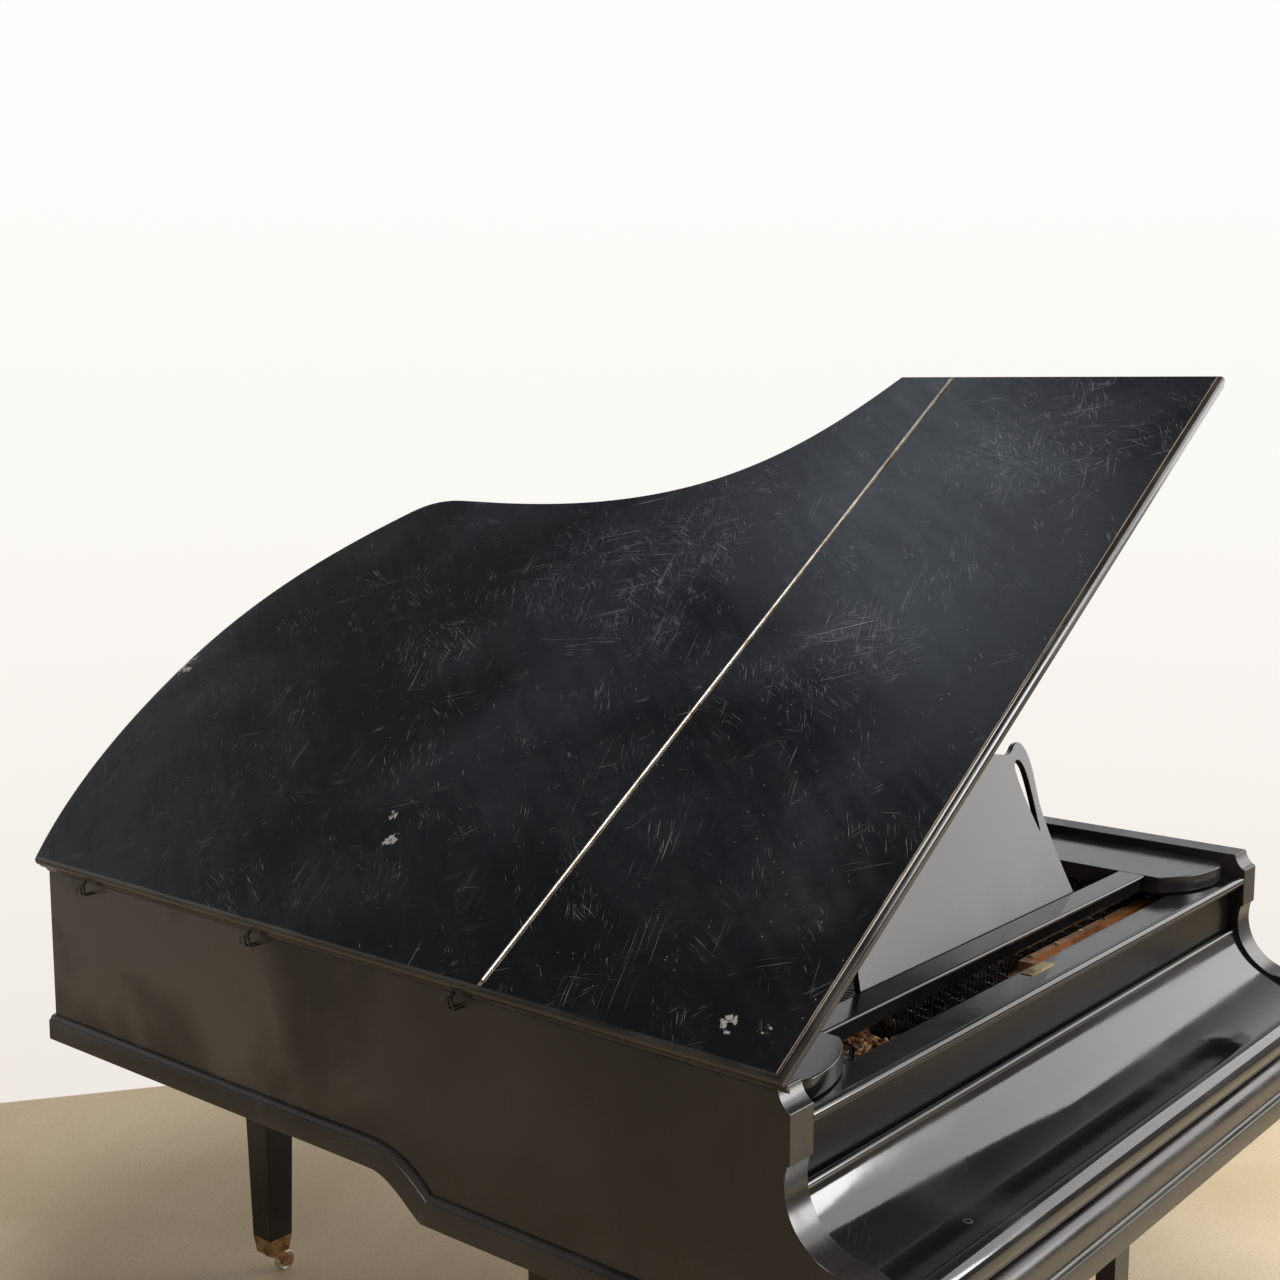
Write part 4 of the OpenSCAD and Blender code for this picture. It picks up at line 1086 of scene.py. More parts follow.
WIRE_STEEL = Metal("string_steel", (0.62, 0.61, 0.60), (0.36, 0.33, 0.30), 0.22, 0.4)
COPPER = Metal("string_copper", (0.62, 0.30, 0.17), (0.30, 0.15, 0.09), 0.3, 0.5)
IRON = Paint("bronzed_iron", (0.62, 0.31, 0.125), (0.27, 0.12, 0.048))
MAPLE = Timber("maple", (0.55, 0.37, 0.20), (0.36, 0.22, 0.11))
BEECH = Timber("beech_rim", (0.42, 0.26, 0.13), (0.25, 0.14, 0.065))
SPRUCE = Timber("varnished_spruce", (0.62, 0.40, 0.17), (0.44, 0.26, 0.10), 0.3, 38)
BLACK_WOOD = Timber("ebonised_wood", (0.016, 0.014, 0.013), (0.03, 0.027, 0.025), 0.3)
BED_WOOD = Timber("stained_bed", (0.055, 0.042, 0.032), (0.03, 0.022, 0.017), 0.45, 90)
IVORY = KeyCover("key_covers")
EBONY = Timber("ebony", (0.012, 0.011, 0.011), (0.022, 0.020, 0.019), 0.22)
GREEN_FELT = Felt("green_felt", (0.012, 0.05, 0.04), (0.03, 0.09, 0.07))
WHITE_FELT = Felt("hammer_felt", (0.62, 0.58, 0.50), (0.5, 0.46, 0.38))


def coat(piece: bpy.types.Object, *finishes: Finish) -> bpy.types.Object:
    """Gives a piece its materials.

    Args:
        piece: the object.
        *finishes: the finish of each material number.

    Returns:
        The same object.
    """
    for finish in finishes:
        piece.data.materials.append(finish.material())
    return piece


def fit(piece: bpy.types.Object, body: str, finishes: Sequence[Finish],
        stands_for: Sequence[str] = ()) -> bpy.types.Object:
    """Finishes a piece and makes it move with its body.

    Args:
        piece: the object.
        body: name of the CAD body.
        finishes: the finish of each material number.
        stands_for: CAD nodes that the piece replaces.

    Returns:
        The same object.
    """
    coat(piece, *finishes)
    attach(piece, body)
    if stands_for:
        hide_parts(*stands_for)
    LOG.info("%s: %d faces, rides on %s", piece.name, len(piece.data.polygons), body)
    return piece


def remake(node: str, width: float, finish: Finish, segments: int = 2) -> bpy.types.Object:
    """Replaces a CAD node by its own shape with rounded edges.

    Args:
        node: the CAD node.
        width: width of the rounding in millimetres.
        finish: the piece's finish.
        segments: spans of the rounding.

    Returns:
        The new object.
    """
    return fit(refined(node, width, segments), frame["nodes"][node]["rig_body"], [finish], [node])


def dress(node: str, finish: Finish) -> None:
    """Gives a CAD node, which keeps its own mesh, a finish.

    Args:
        node: the CAD node.
        finish: its finish.
    """
    carried = frame["nodes"][node]
    if not carried.material_slots:
        carried.data.materials.append(finish.material())
    for slot in carried.material_slots:
        slot.material = finish.material()
    LOG.info("%s: carried over in %s", node, finish.name)


# ---------- case ----------


@dataclass(frozen=True)
class Outline:
    """The case's outline: treble side, bent side, shoulder, tail and spine.

    Attributes:
        cheek: Y where the treble side starts to bend.
        waist: X of the bent side at its narrowest.
        apex: X of the tail's furthest point.
        corner: how far the spine's rear corner stands in front of the tail.
        step_low, step_high: curves of Y and height that the case's lower edge and the base
            moulding's upper edge follow where they step down toward the front.
        arm_y, arm_high: Y in front of which the moulding is level, and its upper edge there.
    """

    cheek: float = 607.0
    waist: float = 300.0
    apex: float = -250.0
    corner: float = 121.0
    step_low: tuple[Flat, ...] = ((640, 615), (678, 640), (705, 668), (745, 670))
    step_high: tuple[Flat, ...] = ((625, 659), (655, 690), (690, 710), (745, 714))
    arm_y: float = -165.0
    arm_high: float = 656.0

    def sections(self) -> list[tuple[tuple[Flat, ...], int, float, float]]:
        """Control points, spans, start and end of each curved stretch.

        Returns:
            For each stretch, its control points, its spans and the shares of the curve that it uses.
        """
        w, a, t = self.waist, self.apex, TAIL
        return [
            (((HALF, self.cheek), (HALF - 282, self.cheek + 102), (w, self.cheek + 228),
              (w, t - 378)), 64, 0.045, 1.0),
            (((w, t - 297), (w, t - 242), (w - 17, t - 213), (w - 46, t - 190)), 18, 0.0, 0.98),
            (((w - 46, t - 190), (w - 163, t - 100), (a + 230, t), (a, t)), 30, 0.02, 1.0),
            (((a, t), (a - 180, t), (-HALF + 142, t - self.corner / 3), (-HALF, t - self.corner)),
             30, 0.03, 0.93),
        ]

    @cache
    def stations(self) -> list[tuple[Flat, Flat]]:
        """Points of the curved outline, each with its move for an inset of 1.

        Returns:
            Pairs of point and move, from the treble side to the spine.
        """
        points = [(HALF, 0.0), (HALF, self.cheek)]
        for control, spans, start, end in self.sections():
            points += bezier(control, spans, start, end)
        points += [(-HALF, TAIL - self.corner), (-HALF, 0.0)]
        neighbours = zip(points, points[1:], points[2:])
        return [(here, tuple(mitre(before, here, after))) for before, here, after in neighbours]

    def line(self, inset: float, treble: Sequence[float], bass: Sequence[float]) -> list[Flat]:
        """The outline from the treble arm round to the bass arm.

        Args:
            inset: distance inside the case's outer face.
            treble: Y of the points on the treble side.
            bass: Y of the points on the bass side.

        Returns:
            The points, as many for each inset.
        """
        curved = [(p[0] + inset * m[0], p[1] + inset * m[1]) for p, m in self.stations()]
        return [(HALF - inset, y) for y in treble] + curved + [(-HALF + inset, y) for y in bass]

    def low(self, y: float) -> float:
        """Height of the case's lower edge at a given Y."""
        return interpolate(y, bezier(self.step_low, 24))

    def high(self, y: float) -> float:
        """Height of the base moulding's upper edge at a given Y."""
        return interpolate(y, bezier(self.step_high, 24)) if y > self.arm_y else self.arm_high

    def step_ys(self) -> list[float]:
        """Y of the points that the step on the bass side needs, from the tail."""
        return [750.0 - 6.5 * i for i in range(20)]


@dataclass
class Case:
    """Rim with its coved arms, base moulding, keybed, inner case and soundboard.

    Attributes:
        outline: the case's outline.
        arm_root: Y where the arms run into the rim.
        lip: height of the arms' nose.
        cove: middle of the great cove, as Y and distance below the rim's top.
        cove_r: its radius.
        moulding: the moulding's section, as distance outwards and share of its height.
    """

    outline: Outline = field(default_factory=Outline)
    arm_root: float = 100.0
    lip: float = 752.0
    cove: Flat = (-82.0, 120.0)
    cove_r: float = 90.0
    moulding: tuple[Flat, ...] = ((0, 0), (9.2, 0), (10, 0.03), (10, 0.77), (9.4, 0.81), (7.8, 0.83),
                                  (7.2, 0.86), (7.0, 0.91), (6.0, 0.96), (4.0, 1.0), (0, 1.0))

    def arm_profile(self) -> list[Flat]:
        """Side view of an arm: nose, great cove, facet and small cove.

        Returns:
            Y and Z of its points, from the foot of the root round to its top.
        """
        foot, lip, front = self.outline.step_low[0][1], self.lip, -ARM_REACH
        y, middle = self.cove[0], RIM_TOP - self.cove[1]
        floor = middle - self.cove_r
        nose = bezier([(front, lip - 40), (front, lip - 12), (front + 10, lip), (front + 30, lip)], 8)
        rise = bezier([(front + 30, lip), (front + 55, lip), (y - 18, floor), (y, floor)], 8)
        cove = arc((y, middle), self.cove_r, -84, 10, 24)
        facet = [(4, middle + 27), (0, middle + 27)]
        small = bezier([(0, RIM_TOP - 26), (9, RIM_TOP - 23), (16, RIM_TOP - 14), (19, RIM_TOP)], 10)
        return [(self.arm_root, foot), (front, foot), *nose, *rise[1:], *cove, *facet, *small,
                (self.arm_root, RIM_TOP)]

    def rim(self) -> bpy.types.Object:
        """The rim's wall and both arms as one mesh.

        Returns:
            The new object.
        """
        pile = Pile()
        line = self.outline
        bass = [*line.step_ys(), self.arm_root]
        outer = line.line(0, [self.arm_root], bass)
        inner = line.line(RIM_T, [self.arm_root], bass)
        rings = [[(*o, line.low(o[1])), (*o, RIM_TOP), (*i, RIM_TOP), (*i, line.low(o[1]))]
                 for o, i in zip(outer, inner)]
        pile.loft(rings, capped=False)
        profile = self.arm_profile()
        count = len(profile)
        for side in Side:
            faces = [(i, i + 1, count + i + 1, count + i) for i in range(count - 1)]
            faces += [tuple(range(count)), tuple(range(2 * count - 1, count - 1, -1))]
            pile.add([(side.value * x, y, z) for x in (HALF, INNER) for y, z in profile], faces)
        return eased_edges(pile.make("rim_and_arms", 30), 1.6, 3)

    def base_moulding(self) -> bpy.types.Object:
        """The moulding round the case's foot and across the keybed's front.

        Returns:
            The new object.
        """
        line = self.outline
        bass = [*line.step_ys(), 0.0, -160.0, -ARM_REACH]
        path = line.line(0, [-ARM_REACH, -160.0, 0.0], bass)
        rings = []
        for out, share in self.moulding:
            ring = line.line(-out, [-ARM_REACH - out, -160.0, 0.0], [*bass[:-1], -ARM_REACH - out])
            rings.append([(x, y, line.low(b) + share * (line.high(b) - line.low(b)))
                          for (x, y), (a, b) in zip(ring, path)])
        pile = Pile()
        pile.loft([list(ring) for ring in zip(*rings)] + [[ring[0] for ring in rings]], capped=False)
        return pile.make("foot_moulding", 28)

    def build(self) -> None:
        """Makes and dresses the case."""
        case = Body.CASE.value
        # the rim's outer side takes the spine lacquer, with its painted reflection toward the rear
        fit(self.rim(), case, [SPINE_PAINTED_REFLECTION], ["rim"])
        fit(self.base_moulding(), case, [SATIN], ["base_moulding"])
        remake("keybed", 1.0, BED_WOOD)
        for node, finish in (("inner_rim", BEECH), ("case_beams", BEECH), ("bridges", MAPLE),
                             ("soundboard", SPRUCE), ("soundboard_ribs", SPRUCE)):
            dress(node, finish)


# ---------- lid ----------


@dataclass
class Lid:
    """Lid, its front flap, the long hinge between them, its other hinges, stop strip and prop.

    Attributes:
        outline: the case's outline.
        over: how far the lid stands out past the case.
        front: Y of the flap's front edge.
        joint: Y of the joint between the lid and the flap.
        gap: width of that joint.
        low: height of the closed lid's lower face.
        edge: the edge's section, as inset and height over the lower face.
        lip_section: section of the drop lip, from the lid's spine edge and lower face.
        hinges: the hinges' middles, behind the lid's front edge.
        knuckle_r, pin_r: radii of the hinges' knuckles and pins.
        busy: spots on the raised lid with more haze and scratches.
        scuffs: spots on the raised lid where the lacquer is scuffed.
    """

    outline: Outline = field(default_factory=Outline)
    over: float = 11.0
    front: float = -2.0
    joint: float = 502.0
    gap: float = 0.6
    low: float = RIM_TOP + 0.3
    edge: tuple[Flat, ...] = ((4.6, 0), (3.0, 1.2), (2.4, 3.4), (2.2, 6.8), (1.0, 8.2), (0.2, 10.6),
                              (0, 13.4), (0.4, 16.2), (1.4, 19.0), (3.0, 21.6), (5.0, 23.4),
                              (7.4, 24.4))
    lip_section: tuple[Flat, ...] = ((4.2, 2), (4.2, -7.2), (4.8, -8.8), (6.2, -9.4), (7.6, -8.8),
                                     (8.2, -7.2), (8.2, 2))
    hinges: tuple[float, ...] = (558.7, 1003.7, 1443.7)
    knuckle_r: float = 2.3
    pin_r: float = 1.3
    busy: tuple[Spot, ...] = (
        Spot((0.0, 0.168, 1.506), 0.2), Spot((0.331, -0.557, 1.726), 0.26),
        Spot((0.062, -0.01, 1.547), 0.24), Spot((-0.134, -0.452, 1.417), 0.2),
        Spot((-0.079, 0.009, 1.453), 0.2), Spot((-0.23, 0.343, 1.353), 0.14))
    scuffs: tuple[Spot, ...] = (
        Spot((-0.583, 0.095, 1.118), 0.024), Spot((-0.543, 0.133, 1.145), 0.02),
        Spot((-0.338, 0.922, 1.281), 0.045), Spot((-0.71, -0.655, 1.033), 0.026),
        Spot((-0.706, -0.71, 1.036), 0.016))

    def profile(self) -> list[Flat]:
        """Inset and height of the edge's points on the closed lid."""
        return [(d, self.low + z) for d, z in self.edge]

    def top_finish(self, name: str, *worn: WornLine) -> Lacquer:
        """Lacquer of the upper face, with its own rubbed lines.

        Args:
            name: the finish's name.
            *worn: lines rubbed to the wood.

        Returns:
            The finish.
        """
        return Lacquer(name, (0.0020, 0.0022, 0.0031), (0.0066, 0.0073, 0.0098), gloss=0.2, dull=0.34,
                       clouds=2.2, scratched=0.52, tilt=-math.degrees(LID_ANGLE), brushed=0.22,
                       busy=self.busy, scuffs=self.scuffs, worn=worn)

    def main_leaf(self) -> bpy.types.Object:
        """The lid behind the flap.

        Returns:
            The new object.
        """
        def section(inset: float) -> list[Flat]:
            """The lid's outline at an inset of its edge."""
            return self.outline.line(inset - self.over, [self.joint], [self.joint])
        coats = [1] * (len(self.edge) - 1) + [0]
        return stacked("lid_leaf_panel", [section], self.profile(), lifted, coats)

    def flap(self) -> bpy.types.Object:
        """The folding front flap.

        Returns:
            The new object.
        """
        rear = self.joint - self.gap

        def section(inset: float) -> list[Flat]:
            """The flap's outline at an inset of its edge."""
            x, y = HALF + self.over - inset, self.front + inset
            return [(-x, rear), (-x, y), (x, y), (x, rear)]
        coats = [2] * (len(self.edge) - 1) + [0]
        return stacked("lid_flap_panel", [section], self.profile(), lifted, coats)

    def lip(self, name: str, start: float, end: float) -> bpy.types.Object:
        """Drop lip under the spine edge, which hides the gap over the rim.

        Args:
            name: the object's name.
            start, end: its run in Y.

        Returns:
            The new object.
        """
        x, z = -HALF - self.over, self.low
        pile = Pile()
        pile.loft([[lifted(x + u, y, z + v) for u, v in self.lip_section] for y in (start, end)])
        return pile.make(name, 40)

    def hinge_parts(self) -> tuple[Pile, Pile, Pile]:
        """Slim hinges under the spine edge: case leaves, lid leaves and pins with bent ends.

        Returns:
            The three piles of all three hinges.
        """
        leaves, tongues, pins = Pile(), Pile(), Pile()
        x, z, side = HINGE_X, RIM_TOP, -HALF - self.over
        arm = [(-HALF, z - 15.6), (-HALF, z - 13.8), (x + 3.6, z - 13.8), (x + 1.2, z),
               (x - 1.2, z - 1), (x + 2, z - 15.6)]
        tongue = [(x - 1, z - 1.2), (x + 1, z + 1.6), (side + 1, z + 6), (side, z + 2)]
        for behind in self.hinges:
            y = self.front + behind
            for low, high in ((-7, -3.2), (3.2, 7)):
                leaves.loft([[(u, y + v, w) for u, w in arm] for v in (low, high)])
                leaves.rod((x, y + low, z), (x, y + high, z), self.knuckle_r, 20)
            tongues.loft([[lifted(u, y + v, w) for u, w in tongue] for v in (-2.9, 2.9)])
            tongues.rod((x, y - 2.9, z), (x, y + 2.9, z), self.knuckle_r, 20)
            pins.cord([(x, y - 9, z), (x, y + 12, z), (x, y + 14.6, z - 0.8), (x, y + 15.6, z - 3),
                       (x, y + 15.8, z - 14)], [self.pin_r] * 5, 10)
        return leaves, tongues, pins

    def build(self) -> None:
        """Makes and dresses the lid."""
        joint = WornLine(AXES.at(0, self.joint, 0).y, 0.0042, 0.8)
        arris = WornLine(AXES.at(0, self.front + self.edge[-1][0], 0).y, 0.0022, 0.9)
        top = self.top_finish("lid_top_lacquer", joint)
        flap = self.top_finish("flap_top_lacquer", joint, arris)
        fit(self.main_leaf(), Body.LID.value, [top, EDGE], ["lid"])
        fit(self.flap(), Body.FLAP.value, [flap, EDGE, NOSING], ["lid_flap"])
        for node in ("flap_hinge_rear", "flap_hinge_front"):
            dress(node, PALE_BRASS)
        fit(self.lip("spine_lip_lid", self.joint + 0.3, TAIL - 126), Body.LID.value, [EDGE])
        fit(self.lip("spine_lip_flap", self.front + 1, self.joint - 0.9), Body.FLAP.value,
            [EDGE])
        kinds = (("lid_hinge_case_leaves", Body.CASE, BLACK), ("lid_hinge_lid_leaves", Body.LID, BLACK),
                 ("lid_hinge_pins", Body.CASE, BLACK_METAL))
        for (node, body, finish), pile in zip(kinds, self.hinge_parts()):
            fit(eased_edges(pile.make(node + "_made"), 0.3), body.value, [finish], [node])
        remake("lid_stop_strip", 1.5, SATIN)
        remake("prop_stick", 1.0, POLISHED)
        remake("prop_bracket", 0.5, BRASS)
        remake("prop_cup", 1.0, SATIN)


# ---------- music desk ----------


@dataclass
class MusicDesk:
    """Two shelves with rounded corners, a front rail and a shaped panel with two slits.

    Attributes:
        shelf_in, shelf_out: X of the treble shelf's sides.
        shelf_front, shelf_l: Y of the shelves' fronts, and their length.
        low, high: heights of the shelves' faces.
        foot: Y of the rail's rear face.
        rail: depth of the rail.
        width, height: the panel's width at its foot, and its height at the corners.
        thickness, back: the panel's thickness, and how far it starts behind its pivot.
        rise: how far the panel's outline starts above its pivot.
        slope: angle of the panel from level.
        pivot: the panel's pivot, as distances behind the foot and below the shelves' tops.
    """

    shelf_in: float = 505.0
    shelf_out: float = 687.0
    shelf_front: float = 30.0
    shelf_l: float = 410.0
    low: float = 931.0
    high: float = 960.0
    foot: float = 156.0
    rail: float = 46.0
    width: float = 668.0
    height: float = 268.0
    thickness: float = 11.0
    back: float = -3.8
    rise: float = 10.6
    slope: float = math.radians(70)
    pivot: Flat = (9.5, 10.0)

    def shelf_loop(self) -> list[Flat]:
        """Outline of the treble shelf.

        Returns:
            Its points, from the outer rear corner.
        """
        x0, x1, y = self.shelf_in, self.shelf_out, self.shelf_front
        rear = y + self.shelf_l
        corner = bezier([(x1 - 47, y), (x1 - 19, y), (x1, y + 18), (x1, y + 48)], 16)
        sweep = bezier([(x0, y + 55), (x0 + 25, y + 22), (x1 - 97, y), (x1 - 47, y)], 24)
        return [(x1, rear), (x0, rear), *sweep, *corner[1:]]

    def shelf(self, side: Side) -> bpy.types.Object:
        """One shelf.

        Args:
            side: the side of the desk.

        Returns:
            The new object.
        """
        loop = self.shelf_loop()
        if side is Side.BASS:
            loop = [(-x, y) for x, y in reversed(loop)]
        return stacked(f"desk_shelf_{side.name.lower()}", [offset_loop(loop)],
                       eased(self.low, self.high, 2.0, 4))

    def front_rail(self) -> bpy.types.Object:
        """The rail between the shelves, with a soft moulding on its front edge.

        Returns:
            The new object.
        """
        y, z = self.foot - self.rail, self.high
        nosing = arc((y + 3.5, z - 4), 4, 80, 190, 8)
        section = [(self.foot, self.low), (self.foot, z), (y + 5, z), *nosing, (y + 1.5, z - 8),
                   (y + 1.5, self.low + 4), (y + 4, self.low)]
        return stacked("desk_front_rail", [offset_loop(section[::-1])],
                       eased(-self.shelf_in, self.shelf_in, 0.4, 2), across)

    def panel_side(self) -> list[Flat]:
        """Right half of the panel's outline: side, ear, dip and the swept top.

        Returns:
            Its points, from the foot to the middle of the top.
        """
        half, top = self.width / 2, self.height
        curves = ((((half, 0), (half - 12, 45), (half - 22, 95), (half - 25, 140)), 12),
                  (((half - 25, 140), (half - 27, 170), (half - 16, top - 73), (half - 16, top - 43)), 12),
                  (((half - 16, top - 43), (half - 16, top - 20), (half - 24, top), (half - 44, top)), 12),
                  (((half - 44, top), (half - 60, top), (half - 66, top - 18), (half - 92, top - 14)), 10),
                  (((half - 92, top - 14), (half - 150, top - 6), (150, top + 20), (0, top + 20)), 20))
        side = [curves[0][0][0]]
        for control, spans in curves:
            side += bezier(control, spans)[1:]
        return side

    def slit(self) -> list[Flat]:
        """The drop-shaped slit beside the panel's right edge.

        Returns:
            Its points, clockwise from its lower tip.
        """
        half, top = self.width / 2, self.height
        tip, left, right = (half - 51, 112), (half - 72, top - 42), (half - 43, top - 44)
        rising = bezier([tip, (half - 62, 150), (half - 74, top - 70), left], 16)
        head = bezier([left, (half - 68, top - 26), (half - 50, top - 26), right], 12)
        falling = bezier([right, (half - 38, top - 70), (half - 46, 150), tip], 16)
        return rising[:-1] + head[:-1] + falling[:-1]

    def sloped(self, u: float, v: float, w: float) -> Point:
        """Puts a point of the panel's own plane on the desk.

        Args:
            u: distance from the middle.
            v: distance up the slope from the pivot.
            w: distance behind the pivot's plane.

        Returns:
            The point in the case's axes.
        """
        cos, sin = math.cos(self.slope), math.sin(self.slope)
        y, z = self.foot + self.pivot[0], self.high - self.pivot[1]
        return (u, y + v * cos - w * sin, z + v * sin + w * cos)

    def panel(self) -> bpy.types.Object:
        """The music panel.

        Returns:
            The new object.
        """
        right = [(u, v + self.rise) for u, v in self.panel_side()]
        left = [(-u, v) for u, v in reversed(right[:-1])]
        foot = [(side.value * self.width / 2, -5.0) for side in Side]
        outer = offset_loop([*foot, *right, *left])
        hole = [(u, v + self.rise) for u, v in self.slit()]
        mirror = [(-u, v) for u, v in reversed(hole)]
        return stacked("music_panel", [outer, offset_loop(hole), offset_loop(mirror)],
                       eased(self.back, self.back + self.thickness, 2.2, 4), self.sloped)

    def fittings(self) -> bpy.types.Object:
        """Ears and pins of the panel's pivot.

        Returns:
            The new object.
        """
        pile = Pile()
        pivot = (self.foot + self.pivot[0], self.high - self.pivot[1])
        foot = self.low + 5
        ear = [(self.foot - 2, foot), (pivot[0] + 5, foot), *arc(pivot, 5, 0, 180, 10)]
        for side in Side:
            x = side.value * (self.width / 2 + 1)
            pile.loft([[(u, y, z) for y, z in ear] for u in (x, x + side.value * 4)])
            pile.rod((x - side.value * 15, *pivot), (x + side.value * 4.6, *pivot), 2.2)
        return eased_edges(pile.make("desk_pivots"), 0.4)

    def build(self) -> None:
        """Makes and dresses the music desk."""
        desk = Body.DESK.value
        for side in Side:
            fit(self.shelf(side), desk, [DUSTED])
        fit(self.front_rail(), desk, [POLISHED], ["desk_frame"])
        fit(self.fittings(), desk, [BRASS])
        fit(self.panel(), Body.PANEL.value, [DUSTED], ["desk_panel"])
        remake("desk_runners", 1.0, SATIN)


# ---------- keyboard ----------


@dataclass
class Keyboard:
    """Key slip, closed fallboard, name board, keys and the action behind them.

    Attributes:
        pivot: Y and Z of the fallboard's pivot.
        over: height of the fallboard over the keys' fronts.
        lip: height of its front edge.
        slip_y: Y of its front.
        ring: the worn ring's middle, as X, Y and height over the fallboard.
        ring_r, ring_line: radii of the ring and of its line.
        painted_shade_below: height under which the name board's face gets a darker, barely reflecting
            lacquer as painted shade.
    """

    pivot: Flat = (18.0, 833.0)
    over: float = 753.0
    lip: float = 702.0
    slip_y: float = -172.0
    ring: Point = (-488.0, -105.0, -0.5)
    ring_r: float = 5.5
    ring_line: float = 0.55
    painted_shade_below: float = 916.0

    def fallboard_loop(self) -> list[Flat]:
        """Section of the fallboard: front roll, long hollow and hinge roll.

        Returns:
            Y and Z of its points, from the front edge over the top and back inside.
        """
        front, over = self.slip_y, self.over
        roll = bezier([(front + 20, self.lip), (front + 2, self.lip + 6), (front + 2, over),
                       (-140, over)], 24)
        hollow = bezier([(-140, over), (-90, over - 5), (-10, over + 7), (13, 831)], 40)[1:]
        hinge = arc(self.pivot, 6, 200, -25, 14)
        inside = bezier([(22, 813), (2, over - 7), (-90, over - 19), (-138, over - 14)], 24)
        return [(front + 26, self.lip), *roll, *hollow[:-1], *hinge, *inside, (front + 26, over - 18)]

    def fallboard(self) -> bpy.types.Object:
        """The closed fallboard.

        Returns:
            The new object.
        """
        loop = self.fallboard_loop()[::-1]
        return stacked("fallboard_shell", [offset_loop(loop)],
                       eased(-INNER + 1, INNER - 1, 0.6, 2), across)

    def ring_mark(self) -> bpy.types.Object:
        """Small worn ring on the fallboard's hollow, near its bass end.

        Returns:
            The new object.
        """
        x, y, over = self.ring
        circle = arc((x, y), self.ring_r, 0, 360, 32)
        line = [(u, v, self.over + over + 0.09 * (v - y) / self.ring_r) for u, v in circle]
        pile = Pile()
        pile.cord(line, [self.ring_line] * len(line), 6)
        return pile.make("fallboard_ring_mark", 60)

    def build(self) -> None:
        """Makes and dresses the keyboard."""
        fit(self.ring_mark(), Body.FALLBOARD.value, [PALE_MARK])
        fit(self.fallboard(), Body.FALLBOARD.value, [POLISHED], ["fallboard"])
        remake("key_slip", 0.8, SATIN)
        remake("key_blocks", 1.2, POLISHED)
        board = refined("name_board", 0.8)
        # faces below that height, between the top board and the fallboard, get the darker, barely
        # reflecting lacquer as painted shade
        for face in board.data.polygons:
            face.material_index = int(face.center.z * MM < self.painted_shade_below)
        fit(board, Body.CASE.value, [POLISHED, SHADED_BOARD_LACQUER], ["name_board"])
        remake("label_plate", 0.3, BRASS)
        for node in ("white_keys", "key_c", "key_d"):
            remake(node, 0.5, IVORY)
        for node in ("black_keys", "key_c_sharp"):
            remake(node, 0.8, EBONY)
        for node, finish in (("key_frame", MAPLE), ("action_frame", BRASS), ("wippens", MAPLE),
                             ("hammers", WHITE_FELT), ("dampers", BLACK_WOOD)):
            dress(node, finish)


# ---------- strung back ----------


